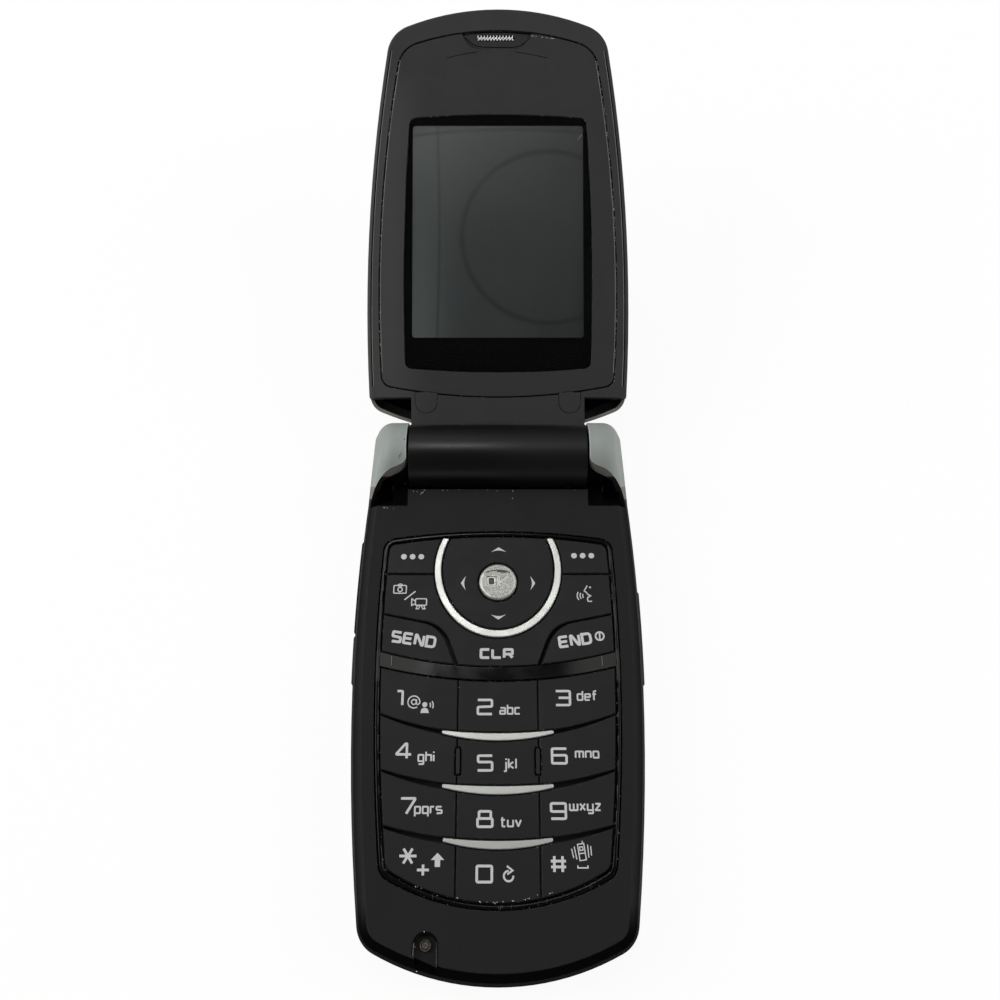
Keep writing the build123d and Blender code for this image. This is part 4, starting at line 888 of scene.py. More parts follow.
def finish(name, colour, roughness=0.5, metallic=0.0, specular=0.5, grain=(5200.0, 0.12), tone=0.25,
           wear_and_highlight=None, wear_and_highlight_amount=0.0, dust=0.0, scratches=0.0, rounding=0.12, patch=160.0, lift=1.6,
           cover=0.45, patches=()):
    """A moulded, painted or metal finish. grain is its scale and depth. tone is how much handling changes it,
    patch how fine that is and lift how much paler it gets. The colour given for edges is that of worn edges
    and of highlights painted along them, the amount given for it is how strongly it shows, and cover how much
    of it stays hidden. dust and scratches are how strong they are, and rounding is the radius of softened
    edges. patches are places with another colour and roughness, each with the function of its mask; some of
    them are painted light or shade."""
    tree, shader = open_material(name)
    grains = use_group(tree, "grain", {"Grain": grain[0], "Patch": patch})
    paint = blend_colours(tree, times(tree, grains["Tone"], tone), solid(colour),
                          solid(colour, lift))
    rough = remap(tree, grains["Tone"], 0.0, 1.0, roughness + 0.03, roughness - 0.03)
    if wear_and_highlight_amount:
        edges = use_group(tree, "wear_and_highlight", {"Radius": rounding * MM * 1.6, "Cover": cover})["Mask"]
        mask = times(tree, edges, wear_and_highlight_amount)
        paint = blend_colours(tree, mask, paint, solid(wear_and_highlight))
    if scratches:
        lines = times(tree, use_group(tree, "scratches")["Mask"], scratches)
        paint = blend_colours(tree, lines, paint, solid(wear_and_highlight or colour, 1.0 if wear_and_highlight else 3.0))
    for place, colour_there, rough_there in patches:
        mask = place(tree)
        paint = blend_colours(tree, mask, paint, solid(colour_there))
        rough = add_node(tree, "ShaderNodeMix", {"Factor": mask, 2: rough, 3: rough_there},
                         data_type="FLOAT").outputs[0]
    if dust:
        specks = times(tree, use_group(tree, "dust")["Mask"], dust)
        paint = blend_colours(tree, specks, paint, solid(bpy.context.scene.phone_colours.dust))
        rough = calculate(tree, "MAXIMUM", rough, specks)
    bump = add_node(tree, "ShaderNodeBump", {"Height": grains["Height"], "Strength": grain[1],
                                             "Distance": 0.00005})
    if rounding:
        edge = add_node(tree, "ShaderNodeBevel", {"Radius": rounding * MM}, samples=6)
        tree.links.new(edge.outputs[0], bump.inputs["Normal"])
    shader.inputs["Metallic"].default_value = metallic
    shader.inputs["Specular IOR Level"].default_value = specular
    tree.links.new(paint, shader.inputs["Base Color"])
    tree.links.new(rough, shader.inputs["Roughness"])
    tree.links.new(bump.outputs[0], shader.inputs["Normal"])


def window_finish(name, tint_colour):
    """Clear moulded window with a few hairline scratches in its gloss."""
    tree, shader = open_material(name)
    lines = use_group(tree, "scratches", {"Share": 0.68})["Mask"]
    shader.inputs["Base Color"].default_value = solid(tint_colour)
    shader.inputs["Transmission Weight"].default_value = 1.0
    shader.inputs["IOR"].default_value = 1.18
    tree.links.new(remap(tree, lines, 0.0, 1.0, 0.0, 0.12), shader.inputs["Roughness"])


def screen_finish(colours):
    """The unlit screen: grey with a painted reflection of light that falls off to the right, painted shade
    towards the lower right and painted light at the lower left, with faint round and straight marks.
    """
    tree, shader = open_material("unlit_screen")
    point = lid_point(tree)
    flat = flatten(tree, point)
    parts = split(tree, point)
    # Painted reflected light, paler on the left and falling off to the right.
    fall = between(tree, parts[0], -17.0, -3.0)
    paint = blend_colours(tree, fall, solid(colours.screen, 1.75), solid(colours.screen, 0.92))
    # Painted shade towards the lower right, by the hinge.
    corner = calculate(tree, "SUBTRACT", parts[0], times(tree, parts[1], 0.55))
    paint = blend_colours(tree, between(tree, corner, -14.0, 8.0), paint, solid(colours.screen, 0.42))
    # Painted light at the lower left.
    lit_low_left = times(tree, between(tree, parts[0], -8.0, -16.0),
                         between(tree, parts[1], 56.0, 26.0))
    paint = blend_colours(tree, lit_low_left, paint, solid(colours.screen, 2.3))
    tone = use_group(tree, "grain", {"Patch": 60.0})["Tone"]
    paint = blend_colours(tree, times(tree, tone, 0.12), paint, solid(colours.screen, 1.5))
    for centre, radius, width, depth in (((9.5, 41.24), 16.2, 0.9, 0.55), ((2.5, -78.0), 139.6, 0.6, 0.45),
                                         ((-510.9, 42.0), 500.0, 0.5, 0.4)):
        mark = ring_mark(tree, flat, (*centre, 0.0), radius, width)
        paint = blend_colours(tree, times(tree, mark, depth), paint, solid(colours.screen, 0.15))
    tree.links.new(paint, shader.inputs["Base Color"])
    shader.inputs["Roughness"].default_value = 0.35
    shader.inputs["Specular IOR Level"].default_value = 0.3


# ---- finishes of the moulded and metal pieces ---------------------------------------------
def build_finishes(colours):
    """Make every finish. Pieces find theirs by its name."""
    # Grey for worn edges of the black pieces, which also paints the light line that their edges catch: partly
    # painted highlight.
    rubbed_and_highlight_grey = grey(0.10)
    finish("case_side", solid(colours.case, 0.5), 0.65, specular=0.0, wear_and_highlight=rubbed_and_highlight_grey, wear_and_highlight_amount=0.2, dust=0.5,
           grain=(5200.0, 0.2), tone=0.1)
    finish("cover_black", solid(colours.case, 0.9), 0.6, specular=0.02, wear_and_highlight=rubbed_and_highlight_grey, wear_and_highlight_amount=0.2,
           dust=0.5, tone=0.05, patches=[(rim_mask, (0.17, 0.16, 0.14), 0.4)])
    # Its three patches are painted shade: on the base face's long edges, in the recesses under the hinge caps
    # and on the foot slope.
    finish("case_black", colours.case, 0.6, specular=0.05, wear_and_highlight=rubbed_and_highlight_grey, wear_and_highlight_amount=0.25, dust=0.9,
           grain=(5200.0, 0.16), tone=0.1,
           patches=[(edge_shade_mask, grey(0.003), 0.7), (recess_shade_mask, grey(0.0003), 0.8),
                    (foot_shade_mask, grey(0.0003), 1.0)])
    # The left patch is painted light; the knuckle patches are near black and carry painted shade a little way
    # onto the face.
    finish("lid_black", colours.lid, 0.68, specular=0.25, wear_and_highlight=rubbed_and_highlight_grey, wear_and_highlight_amount=0.3, dust=1.0, tone=0.08,
           patches=[(left_light_mask, (0.044, 0.044, 0.043), 0.68), (knuckle_and_shade_mask, grey(0.0002), 0.45),
                    (rub_mask, grey(0.0005), 0.33)])
    # The left patch is painted light and the scoop patch is painted shade.
    finish("panel_black", colours.lid, 0.68, specular=0.2, wear_and_highlight=rubbed_and_highlight_grey, wear_and_highlight_amount=0.3, dust=1.0, tone=0.08,
           patches=[(left_light_mask, (0.047, 0.047, 0.046), 0.68), (scoop_shade_mask, grey(0.0085), 0.5)])
    finish("key_black", colours.key, 0.5, specular=0.12, wear_and_highlight=rubbed_and_highlight_grey, wear_and_highlight_amount=0.3, dust=0.6,
           grain=(7000.0, 0.1), tone=0.1)
    finish("frame_gloss", colours.gloss, 0.13, specular=0.12, dust=0.9, scratches=0.25, grain=(5200.0, 0.02),
           tone=0.1, wear_and_highlight=(0.2, 0.2, 0.19), patches=[(bar_mask, (0.022, 0.022, 0.021), 0.4)])
    # The cap's light edge colour is a painted highlight along its edges, and its toe patch is painted shade.
    finish("cap_silver", colours.silver, 0.62, metallic=0.15, specular=0.3, wear_and_highlight=(0.62, 0.64, 0.61),
           wear_and_highlight_amount=0.8, dust=0.2, grain=(9000.0, 0.04), tone=0.1, rounding=0.16, cover=-0.5,
           patches=[(cut_mask, (0.16, 0.15, 0.13), 0.6), (flank_mask, (0.12, 0.112, 0.097), 0.6),
                    (toe_shade_mask, grey(0.001), 0.8), (nick_mask, (0.05, 0.05, 0.045), 0.6)])
    finish("plated_silver", colours.plate, 0.38, metallic=0.8, wear_and_highlight=(0.3, 0.28, 0.25), wear_and_highlight_amount=0.3,
           grain=(6000.0, 0.1), tone=0.2, scratches=0.2, rounding=0.1)
    finish("button_silver", (0.15, 0.15, 0.14), 0.42, metallic=0.6, wear_and_highlight=(0.8, 0.8, 0.78), wear_and_highlight_amount=0.5,
           grain=(4200.0, 1.0), tone=1.0, rounding=0.3, patch=5200.0, lift=3.0)
    finish("moulded_rubber", grey(0.012), 0.75, specular=0.25, dust=0.8, grain=(3000.0, 0.3))
    finish("contact_film", (0.55, 0.55, 0.52), 0.4, grain=(1500.0, 0.05))
    finish("board_lacquer", (0.02, 0.12, 0.06), 0.35, grain=(1200.0, 0.15))
    finish("turned_steel", (0.45, 0.45, 0.46), 0.3, metallic=1.0, scratches=0.4, grain=(4000.0, 0.08))
    finish("gilt_brass", (0.75, 0.55, 0.2), 0.25, metallic=1.0, grain=(4000.0, 0.05))
    finish("cell_wrap", (0.03, 0.03, 0.035), 0.35, grain=(2500.0, 0.06), scratches=0.2)
    finish("heavy_metal", grey(0.2), 0.45, metallic=1.0, grain=(3500.0, 0.2))
    finish("circuit_film", (0.35, 0.14, 0.03), 0.3, grain=(2000.0, 0.05))
    finish("smoked_window", (0.004, 0.004, 0.0045), 0.08, grain=(5200.0, 0.0), tone=0.1, scratches=0.3,
           dust=0.3)
    finish("printed_ink", colours.ink, 0.55, specular=0.3, grain=(6000.0, 0.05), tone=0.12, rounding=0)
    # Dark worn print, also used as painted shade under the round key's crescent.
    finish("worn_print_and_shade", (0.05, 0.046, 0.037), 0.5, specular=0.3, grain=(6000.0, 0.05), tone=0.4, rounding=0)
    finish("window_mask", (0.0004, 0.0004, 0.0005), 0.5, specular=0.0, grain=(5200.0, 0.02), tone=0.2,
           rounding=0)
    finish("net_black", grey(0.002), 0.6, specular=0.2, grain=(9000.0, 0.6), tone=0.3, rounding=0)
    # Light lines: painted highlights along edges, and the real nicks on the keypad's frame.
    finish("lip_highlight_and_nick_grey", (0.12, 0.12, 0.115), 0.5, specular=0.3, grain=(1500.0, 0.3), tone=0.9, rounding=0)
    # Dark seams, and painted shade lines round the earpiece's hollow and over the screw's pocket.
    finish("seam_and_shade_black", grey(0.0008), 0.8, specular=0.05, grain=(5200.0, 0.1), tone=0.2, rounding=0)
    # The dark ring on the screw is painted shade.
    finish("worn_screw", (0.012, 0.010, 0.007), 0.5, metallic=0.3, wear_and_highlight=(0.2, 0.17, 0.12), wear_and_highlight_amount=0.5,
           grain=(6000.0, 0.5), tone=1.0, rounding=0.05, patch=2200.0, lift=9.0,
           patches=[(screw_gap_shade_mask, grey(0.001), 0.8)])
    finish("woven_wire", (0.85, 0.85, 0.83), 0.3, metallic=0.2, grain=(8000.0, 0.05), tone=0.1, rounding=0.02)
    finish("lint", colours.dust, 0.9, specular=0.2, grain=(8000.0, 0.3), tone=0.5, rounding=0.02)
    window_finish("clear_window", (0.93, 0.95, 0.94))
    screen_finish(colours)


NODE_FINISH = {
    "case_side": ["rear_case", "battery_cover", "volume_rocker"],
    "cover_black": ["lid_outer_cover"],
    "case_black": ["front_case", "camera_module", "loudspeaker", "headset_jack", "antenna", "microphone"],
    "lid_black": ["lid_inner_case", "lid_screw_covers"],
    "panel_black": ["bezel_panel"],
    "key_black": ["nav_ring", "nav_pad"] + sorted(
        name for name in frame["nodes"] if name.startswith("key_") and name not in ("key_ok", "key_carrier")),
    "frame_gloss": ["keypad_frame"],
    "cap_silver": ["hinge_caps"],
    "plated_silver": ["row_strips", "nav_arc_trim"],
    "button_silver": ["key_ok"],
    "moulded_rubber": ["key_carrier", "headset_cover", "port_cover"],
    "contact_film": ["dome_sheet"],
    "board_lacquer": ["main_board"],
    "turned_steel": ["shield_can", "vibration_motor", "case_screws", "hinge_shaft", "lid_screws",
                     "hinge_module", "earpiece", "io_connector"],
    "gilt_brass": ["battery_contacts", "pivot_bush"],
    "cell_wrap": ["battery"],
    "heavy_metal": ["vibration_weight"],
    "circuit_film": ["flex_cable"],
    "smoked_window": ["outer_window", "outer_display"],
    "clear_window": ["main_lens"],
    "window_mask": ["main_display"],
    "net_black": ["earpiece_mesh"],
}


class PHONE_OT_finish_nodes(Operator):
    """Give every moulded and metal piece its finish"""
    bl_idname = "phone.finish_nodes"
    bl_label = "Finish the pieces"

    def execute(self, context):
        build_finishes(context.scene.phone_colours)
        for look, names in NODE_FINISH.items():
            for name in names:
                materials = frame["nodes"][name].data.materials
                materials.clear()
                materials.append(bpy.data.materials[look])
        return {"FINISHED"}


class PHONE_OT_print_keys(Operator):
    """Print the digits, letters and signs on the keys"""
    bl_idname = "phone.print_keys"
    bl_label = "Print the keys"

    def execute(self, context):
        size = context.scene.phone_prints
        ink = size.ink / MM
        digit_x = (size.digit_wide - size.digit_stroke) / MM / 4
        digit_y = (size.digit_high - size.digit_stroke) / MM / 6
        digit, word, letter = size.digit_stroke / MM, size.word_unit / MM, size.letter_unit / MM
        # the grid's unit across and up, and the stroke, of each kind of print
        kinds = {"digit": (digit_x, digit_y, digit), "sign": (digit_x * 0.8, digit_y * 0.85, digit),
                 "word": (word, word * 0.8, size.word_stroke / MM),
                 "caps": (word, word * 0.67, size.word_stroke / MM),
                 "small": (letter, letter, size.letter_stroke / MM)}
        levels = (KEY_TOP / MM - ink, KEY_TOP / MM + ink)
        for key, prints in PRINTS.items():
            surfaces = Surfaces()
            for kind, text, x, y, turn in prints:
                if kind == "icon":
                    ICONS[text](Stamp(surfaces, x, y, size.icon_stroke / MM, levels))
                else:
                    print_word(surfaces, text, x, y, *kinds[kind], levels, turn)
            make_piece("print_" + key, surfaces, on_base, key + "_body", "printed_ink")
        surfaces = Surfaces()
        for x, y, turn in NAV_MARKS:
            chevron_icon(Stamp(surfaces, x, y, 0.0, (NAV_TOP / MM - ink, NAV_TOP / MM + ink)), turn)
        make_piece("print_nav_ring", surfaces, on_base, "nav_ring_body", "printed_ink")
        self.mark_ok(ink)
        return {"FINISHED"}

    def mark_ok(self, ink):
        """The marks of the round key: its worn print, two bright frames about a dark well with the letter
        beside them, bright arcs on the rim, and painted shade, a dark line and a dark patch under the plain
        crescent."""
        x, y = OK_CENTRE.x / MM, OK_CENTRE.y / MM
        low, high = OK_TOP / MM - ink, OK_TOP / MM + ink / 2
        under = high - 4 * HAIR
        well = (x - 1.1, y + 0.08)
        bright, dark = Surfaces(), Surfaces()
        for half_x, half_y, stroke in ((1.1, 0.94, 0.13), (0.58, 0.68, 0.17)):
            rim = rectangle(-half_x, -half_y, half_x, half_y) + well
            ribbon(bright, softened(rim, 0.4), stroke, low, high)
        for path in centred(glyph_paths("K", 0.4, 0.3), x + 1.05, y + 0.08):
            ribbon(bright, path, 0.15, low, high)
        for start, stop, stroke in ((148, 246, 0.26), (-60, 62, 0.14)):
            ribbon(bright, arc((x, y), 2.88, start, stop, 40), stroke, low, high)
        plate(dark, rectangle(-0.48, -0.58, 0.48, 0.58)[:-1] + well, low, under)
        ribbon(dark, np.array([(-0.9, 0.81), (0.8, 0.81)]) + well, 0.14, low, high)
        # Painted shade: a dark line along the lower edge of the plain crescent, and a dark patch just under
        # it.
        crescent = (x, y - 3.0)
        ribbon(dark, arc(crescent, 5.1, 66, 114, 40), 0.22, low, high)
        plate(dark, np.concatenate([arc(crescent, 5.05, 70, 92, 16), arc(crescent, 4.7, 92, 76, 16)]),
              low, under)
        make_piece("print_key_ok", bright, on_base, "key_ok_body", "plated_silver")
        make_piece("wear_and_shade_key_ok", dark, on_base, "key_ok_body", "worn_print_and_shade")


class PHONE_OT_glaze_screen(Operator):
    """Fit the screen and its black mask behind the window"""
    bl_idname = "phone.glaze_screen"
    bl_label = "Glaze the screen"

    def execute(self, context):
        size = context.scene.phone_screen
        top = WINDOW_BACK - size.mask_gap / MM
        low = top - size.mask_thick / MM
        half, foot, head = size.half / MM, size.foot / MM, size.head / MM
        outer, inner = (softened(path, 0.6, 4)[:-1] for path in (rectangle(-18, 14.9, 18, 64.8),
                                                                 rectangle(-half, foot, half, head)))
        mask, count = Surfaces(), len(outer)
        points = np.concatenate([np.hstack([ring, np.full((count, 1), height)]) for ring, height in
                                 ((outer, top), (inner, top), (inner, low), (outer, low))])
        mask.add(points, grid_faces(4, count, close_rows=True, close_columns=True))
        make_piece("screen_mask", mask, on_lid, "lid", "window_mask")
        panel, panel_back = Surfaces(), -3.4
        plate(panel, outer, panel_back, low - 5 * HAIR)
        make_piece("screen_panel", panel, on_lid, "lid", "unlit_screen",
                   replaces=["main_display"])
        return {"FINISHED"}


def wire_along(surfaces, path, wire, sides=6):
    """A round wire: a ring of points carried along a path without turning, and closed at its ends."""
    turn = np.linspace(0, 2 * pi, sides + 1)[:-1]
    ahead = np.gradient(path, axis=0)
    ahead /= np.linalg.norm(ahead, axis=1)[:, None]
    across = np.cross(ahead, (0.0, 0.0, 1.0))
    across /= np.maximum(np.linalg.norm(across, axis=1), 1e-9)[:, None]
    out = np.cross(across, ahead)
    ring = across[:, None] * np.cos(turn)[None, :, None] + out[:, None] * np.sin(turn)[None, :, None]
    points = (path[:, None] + ring * wire / 2).reshape(-1, 3)
    faces = grid_faces(len(path), sides, close_columns=True).tolist()
    last = (len(path) - 1) * sides
    faces += [list(range(sides)), [last + i for i in range(sides)][::-1]]
    surfaces.add(points, faces)


class PHONE_OT_weave_mesh(Operator):
    """Lay the bright wire in the earpiece's slot"""
    bl_idname = "phone.weave_mesh"
    bl_label = "Lay the earpiece's wire"

    def execute(self, context):
        size = context.scene.phone_mesh
        wire, pitch, swing = size.wire / MM, size.pitch / MM, size.swing / MM
        middle_x, middle_y, half, depth = -0.42, 78.8, 3.3, -0.62
        mesh = Surfaces()
        along = np.linspace(-half, half, 177)
        phase = along / pitch
        wave = 2 * np.abs(2 * (phase % 1) - 1) - 1
        wire_along(mesh, np.stack([middle_x + along, middle_y - 0.17 + wave * swing / 2,
                                   depth + 0.05 * np.cos(2 * pi * phase)], -1), wire)
        for x in middle_x - half + pitch * np.arange(round(2 * half / pitch) + 1):
            wire_along(mesh, np.array([(x, middle_y - 0.12, depth + 0.08), (x, middle_y + 0.14, depth + 0.1),
                                       (x, middle_y + 0.42, depth + 0.06)]), wire)
        make_piece("earpiece_wire", mesh, on_lid, "lid", "woven_wire", smooth=True)
        return {"FINISHED"}


# The right side of the lid's plan and of the bezel's: three points on a bowed line.
LID_SIDE = ((23.6, 9.45), (24.2, 29.0), (20.2, 79.7))
BEZEL_SIDE = ((21.2, 13.4), (21.8, 32.0), (18.0, 76.4))


class PHONE_OT_trim_lid(Operator):
    """Lay the light lip lines along the edges, which are painted highlights, the dark seam lines with a
    painted shade line round the earpiece's hollow, and the lint of the lid's inner face
    """
    bl_idname = "phone.trim_lid"
    bl_label = "Trim the lid"

    def execute(self, context):
        size = context.scene.phone_trims
        proud, lip, seam = size.proud / MM, size.lip / MM, size.seam / MM
        lip_highlights, seams_and_shade, lint = Surfaces(), Surfaces(), Surfaces()
        for side in (-1, 1):
            # The lip lines are painted highlights along the lid's and the bezel's edges; the middle run is a
            # dark seam.
            for trim, plan, grow, low, high, wide, face, rise in (
                    (lip_highlights, LID_SIDE, -0.95, 13.0, 76.5, lip, LID_FACE, proud),
                    (seams_and_shade, LID_SIDE, -0.78, 12.0, 77.0, seam, LID_FACE, proud / 2),
                    (lip_highlights, BEZEL_SIDE, -0.1, 14.5, 74.5, lip, BEZEL_FACE, proud)):
                ribbon(trim, side_run(plan, grow, low, high) * (side, 1), wide, face - SINK, face + rise)
            groove = side_run(BEZEL_SIDE, 0.13, 14.0, 75.5, 400) * (side, 1)
            scatter_lint(lint, groove, size, 90 if side > 0 else 46, 0.05, LID_FACE - 0.1, side + 3)
        sunk = BEZEL_FACE - SINK
        for points in (((-9.6, 74.8), (-6.7, 75.5), (-3.7, 76.0)), ((3.2, 76.0), (6.2, 75.5), (9.25, 74.8))):
            ribbon(seams_and_shade, through(*points), 0.13, sunk, BEZEL_FACE + proud / 2)
        # A painted shade line round the bottom of the earpiece's hollow.
        hollow = [(-6.2, 78.7), (-4.7, 77.3), (-2.6, 76.85), (3.1, 76.85), (4.6, 77.3), (6.0, 78.7)]
        ribbon(seams_and_shade, softened(hollow, 1.2), 0.15, sunk, BEZEL_FACE + proud / 3)
        scatter_lint(lint, np.linspace((6.3, 79.1), (10.4, 78.5), 60), size, 12, 0.04, BEZEL_FACE, 21)
        # A short painted highlight by the screen's upper right corner.
        ribbon(lip_highlights, [(14.92, 59.27), (15.3, 59.9), (15.67, 60.31)], 0.1, -0.5, -0.42 + proud)
        make_piece("lid_lip_highlights", lip_highlights, on_lid, "lid", "lip_highlight_and_nick_grey")
        make_piece("lid_seams_and_shade", seams_and_shade, on_lid, "lid", "seam_and_shade_black")
        make_piece("lid_lint", lint, on_lid, "lid", "lint")
        return {"FINISHED"}


def scatter_lint(surfaces, line, size, count, spread, height, seed):
    """Flecks of lint along a line: short bent bars at random places, turned at random."""
    half_high = 0.03
    chance = np.random.default_rng(size.seed * 101 + seed)
    for spot in line[chance.integers(0, len(line), count)]:
        reach = size.fleck / MM * chance.uniform(0.35, 1.0)
        turn = chance.uniform(0, 2 * pi)
        bend = turn + chance.uniform(-1.2, 1.2)
        middle = spot + chance.normal(0, spread, 2)
        path = np.array([middle - reach / 2 * np.array([cos(turn), sin(turn)]), middle,
                         middle + reach / 2 * np.array([cos(bend), sin(bend)])])
        ribbon(surfaces, path, size.fleck / MM * chance.uniform(0.25, 0.5), height - half_high,
               height + half_high)


class PHONE_OT_trim_base(Operator):
    """Lay the lint on the base and fit the worn screw in its pocket"""
    bl_idname = "phone.trim_base"
    bl_label = "Trim the base"

    def execute(self, context):
        size = context.scene.phone_trims
        lint = Surfaces()
        for first, last, count, spread in (((-15.6, -6.9), (-13.2, -6.8), 9, 0.25),
                                           ((-12.5, -6.6), (15.0, -6.6), 7, 0.12),
                                           ((-20.6, -9.9), (-18.0, -10.1), 5, 0.22),
                                           ((2.7, -8.0), (2.9, -8.0), 1, 0.05)):
            scatter_lint(lint, np.linspace(first, last, 50), size, count, spread, FACE_TOP, count)
        groove = through((-13.4, -40.9), (-0.4, -42.6), (12.8, -40.9), 300)
        scatter_lint(lint, groove, size, 26, 0.06, FACE_TOP + 0.05, 11)
        rail = through((-14.2, -72.1), (-2.5, -74.9), (8.6, -73.5), 200)
        scatter_lint(lint, rail, size, 18, 0.08, FRAME_TOP, 31)
        for x, y, height in ((-11.13, -79.05, FACE_TOP), (-12.17, -84.5, 9.0), (-6.2, -74.35, FRAME_TOP),
                             (-2.8, -74.85, FRAME_TOP), (-0.45, -75.1, FRAME_TOP), (4.2, -74.6, FRAME_TOP),
                             (8.0, -73.7, FRAME_TOP)):
            ribbon(lint, [(x - 0.06, y), (x + 0.06, y + 0.03)], 0.11, height - SINK, height + 0.04)
        make_piece("base_lint", lint, on_base, "base", "lint")
        (x, y), sunk = POCKET, FACE_TOP - 0.03
        seams_and_shade, edges, nicks, screw = Surfaces(), Surfaces(), Surfaces(), Surfaces()
        # A painted shadow arc over the top of the pocket, and dark seam lines down its sides.
        ribbon(seams_and_shade, arc(POCKET, 1.82, 165, 15, 30), 0.32, sunk, FACE_TOP + 0.008)
        for side, foot in ((-1, 1.3), (1, 2.9)):
            ribbon(seams_and_shade, [(x + 1.92 * side, y + 0.5), (x + 1.98 * side, y - foot)], 0.12, sunk,
                   FACE_TOP + 0.006)
        make_piece("pocket_seam_and_shadow", seams_and_shade, on_base, "base", "seam_and_shade_black")
        # Painted highlights: light lines on the pocket's walls, wider on the left.
        ribbon(edges, [(x - 1.72, y + 0.35), (x - 1.8, y - 1.4)], 0.06, sunk, FACE_TOP + 0.01)
        ribbon(edges, [(x + 1.72, y - 0.4), (x + 1.76, y - 2.9)], 0.025, sunk, FACE_TOP + 0.01)
        make_piece("pocket_lip_highlights", edges, on_base, "base", "lip_highlight_and_nick_grey")
        for nick_x in (-17.86, 17.46):
            ribbon(nicks, [(nick_x, -36.9), (nick_x + 0.03, -38.5)], 0.09, FRAME_TOP,
                   FRAME_TOP + 0.02 + size.proud / MM)
        make_piece("frame_nicks", nicks, on_base, "base", "lip_highlight_and_nick_grey")
        pocket_floor = 9.42
        self.turn_screw(screw, POCKET, pocket_floor)
        make_piece("pocket_screw_head", screw, on_base, "base", "worn_screw", smooth=True)
        return {"FINISHED"}

    def turn_screw(self, surfaces, centre, low):
        """A worn screw head in its countersunk seat: height over radius r and angle a, with a raised rim at
        0.78, a groove at 0.6 that painted shade darkens, and a low dome up to 0.47 that two crossed slots
        cut."""
        r, a = np.meshgrid(np.linspace(0.02, 0.86, 43), np.linspace(0, 2 * pi, 65)[:-1], indexing="ij")
        x, y = r * np.cos(a + 0.5), r * np.sin(a + 0.5)
        rim = 0.07 * np.exp(-((r - 0.78) / 0.05) ** 2)
        dome = 0.12 * np.clip((0.47 - r) / 0.08, 0, 1) * (1 - 0.5 * r)
        slot = 0.11 * (np.minimum(np.abs(x), np.abs(y)) < 0.07) * (r < 0.37)
        top = low + rim + dome - slot
        points = np.stack([centre[0] + r * np.cos(a), centre[1] + r * np.sin(a), top], -1)
        floor = points[-1].copy()
        floor[:, 2] = low - 0.15
        rings, count = len(points) + 1, points.shape[1]
        faces = grid_faces(rings, count, close_columns=True).tolist()
        faces += [list(range(count)), list(range((rings - 1) * count, rings * count))[::-1]]
        surfaces.add(np.concatenate([points.reshape(-1, 3), floor]), faces)


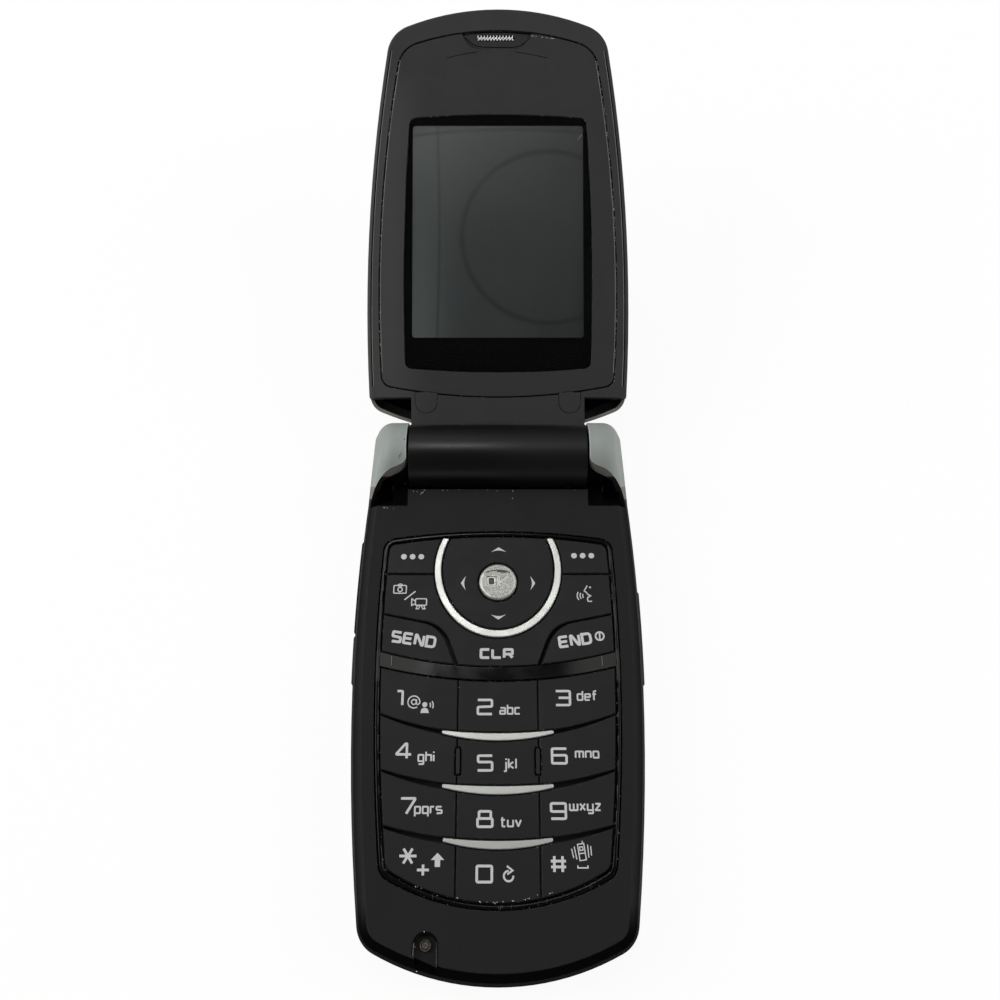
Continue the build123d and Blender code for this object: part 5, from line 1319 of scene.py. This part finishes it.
class PHONE_OT_build_stage(Operator):
    """Set up the floor, the light and the camera"""
    bl_idname = "phone.build_stage"
    bl_label = "Build the stage"

    def execute(self, context):
        scene = context.scene
        scene.view_settings.view_transform = "Standard"
        self.light_world(scene)
        self.lay_floor()
        self.hang_lamps(scene)
        self.aim_camera(scene)
        return {"FINISHED"}

    def light_world(self, scene):
        """A soft studio sky: dark overhead, pale over the lid and to the left, and white at its rim,
        which is lower on the side towards the foot."""
        world = bpy.data.worlds.new("studio")
        world.use_nodes = True
        tree = world.node_tree
        tree.nodes.clear()
        ray = add_node(tree, "ShaderNodeTexCoord").outputs["Generated"]
        _, along, up = split(tree, ray)
        facing = add_node(tree, "ShaderNodeVectorMath", {0: ray, 1: (-0.28, 0.62, 0.73)},
                          operation="DOT_PRODUCT").outputs["Value"]
        panel = remap(tree, facing, 0.86, 0.99, 0.0, 1.1)
        behind = remap(tree, along, -0.75, -0.3)
        wide = times(tree, remap(tree, up, 0.45, 0.08, 0.0, 0.85), behind)
        rim = calculate(tree, "MAXIMUM", wide, remap(tree, up, 0.2, 0.15, 0.0, 0.85))
        level = calculate(tree, "ADD", calculate(tree, "ADD", panel, rim), 0.2)
        light = add_node(tree, "ShaderNodeBackground", {"Color": (1, 1, 1, 1), "Strength": level})
        add_node(tree, "ShaderNodeOutputWorld", {"Surface": light.outputs[0]})
        scene.world = world

    def lay_floor(self):
        """A wide white floor that keeps a soft shadow."""
        mesh = bpy.data.meshes.new("floor")
        reach, drop = 3.0, -0.00005
        mesh.from_pydata([(-reach, -reach, drop), (reach, -reach, drop), (reach, reach, drop),
                          (-reach, reach, drop)], [], [(0, 1, 2, 3)])
        floor = bpy.data.objects.new("floor", mesh)
        bpy.context.scene.collection.objects.link(floor)
        tree, shader = open_material("white_floor")
        shader.inputs["Base Color"].default_value = (0.9, 0.9, 0.9, 1)
        shader.inputs["Roughness"].default_value = 0.9
        shader.inputs["Specular IOR Level"].default_value = 0.0
        seen = add_node(tree, "ShaderNodeLightPath").outputs
        look = calculate(tree, "MAXIMUM", seen["Is Camera Ray"],
                         calculate(tree, "MAXIMUM", seen["Is Glossy Ray"], seen["Is Transmission Ray"]))
        glow = add_node(tree, "ShaderNodeEmission", {"Color": (1, 1, 1, 1), "Strength": 1.0})
        share = times(tree, look, 0.93)
        mixed = add_node(tree, "ShaderNodeMixShader", {0: share, 1: shader.outputs[0], 2: glow.outputs[0]})
        tree.links.new(mixed.outputs[0], tree.nodes["Material Output"].inputs["Surface"])
        mesh.materials.append(bpy.data.materials["white_floor"])

    def hang_lamps(self, scene):
        """A small soft box over the hinge, and two large ones at the sides."""
        target = np.array((0, 0, 0.01))
        for name, place, size, watts in (("over_hinge", (-0.07, 0.215, 0.78), (0.16, 0.10), 1.15),
                                         ("left", (-0.75, 0.12, 0.50), (0.5, 0.5), 4.8),
                                         ("right", (0.75, 0.12, 0.50), (0.5, 0.5), 3.4)):
            lamp = bpy.data.lights.new(name, "AREA")
            lamp.shape = "RECTANGLE"
            lamp.size, lamp.size_y = size
            lamp.energy = watts
            holder = bpy.data.objects.new(name, lamp)
            holder.location = place
            holder.rotation_euler = Vector(target - np.array(place)).to_track_quat("-Z", "Y").to_euler()
            scene.collection.objects.link(holder)

    def aim_camera(self, scene):
        """The camera over the keypad, tilted towards the lid."""
        size = scene.phone_camera
        data = bpy.data.cameras.new("camera")
        data.sensor_width = 36.0
        data.lens = size.lens
        data.shift_x = size.shift
        data.clip_start = 0.005
        camera = bpy.data.objects.new("camera", data)
        camera.location = (0.0, -size.back, size.high)
        camera.rotation_euler = (size.tilt, 0.0, 0.0)
        scene.collection.objects.link(camera)
        scene.camera = camera


class PHONE_PT_sidebar(Panel):
    """Lists the steps in the sidebar"""
    bl_idname = "PHONE_PT_sidebar"
    bl_label = "Phone"
    bl_space_type = "VIEW_3D"
    bl_region_type = "UI"
    bl_category = "Phone"

    def draw(self, context):
        for step in STEPS:
            self.layout.operator(step.bl_idname)
        for group in SETTINGS:
            settings = getattr(context.scene, group)
            box = self.layout.box()
            for name in settings.bl_rna.properties.keys():
                if name not in ("rna_type", "name"):
                    box.prop(settings, name)


STEPS = [PHONE_OT_finish_nodes, PHONE_OT_print_keys, PHONE_OT_glaze_screen, PHONE_OT_weave_mesh,
         PHONE_OT_trim_lid, PHONE_OT_trim_base, PHONE_OT_build_stage]
SETTINGS = {"phone_prints": PrintSizes, "phone_screen": ScreenSizes, "phone_mesh": MeshSizes,
            "phone_trims": TrimSizes, "phone_camera": CameraSizes, "phone_colours": Colours}


def register():
    """Register the settings, the steps and the panel."""
    for name, kind in SETTINGS.items():
        bpy.utils.register_class(kind)
        setattr(bpy.types.Scene, name, PointerProperty(type=kind))
    for kind in STEPS + [PHONE_PT_sidebar]:
        bpy.utils.register_class(kind)


def unregister():
    """Undo register."""
    for kind in [PHONE_PT_sidebar] + STEPS[::-1]:
        bpy.utils.unregister_class(kind)
    for name, kind in SETTINGS.items():
        delattr(bpy.types.Scene, name)
        bpy.utils.unregister_class(kind)


def main():
    """Register the add-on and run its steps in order."""
    register()
    for step in STEPS:
        area, action = step.bl_idname.split(".")
        getattr(getattr(bpy.ops, area), action)()


if __name__ == "__main__":
    main()
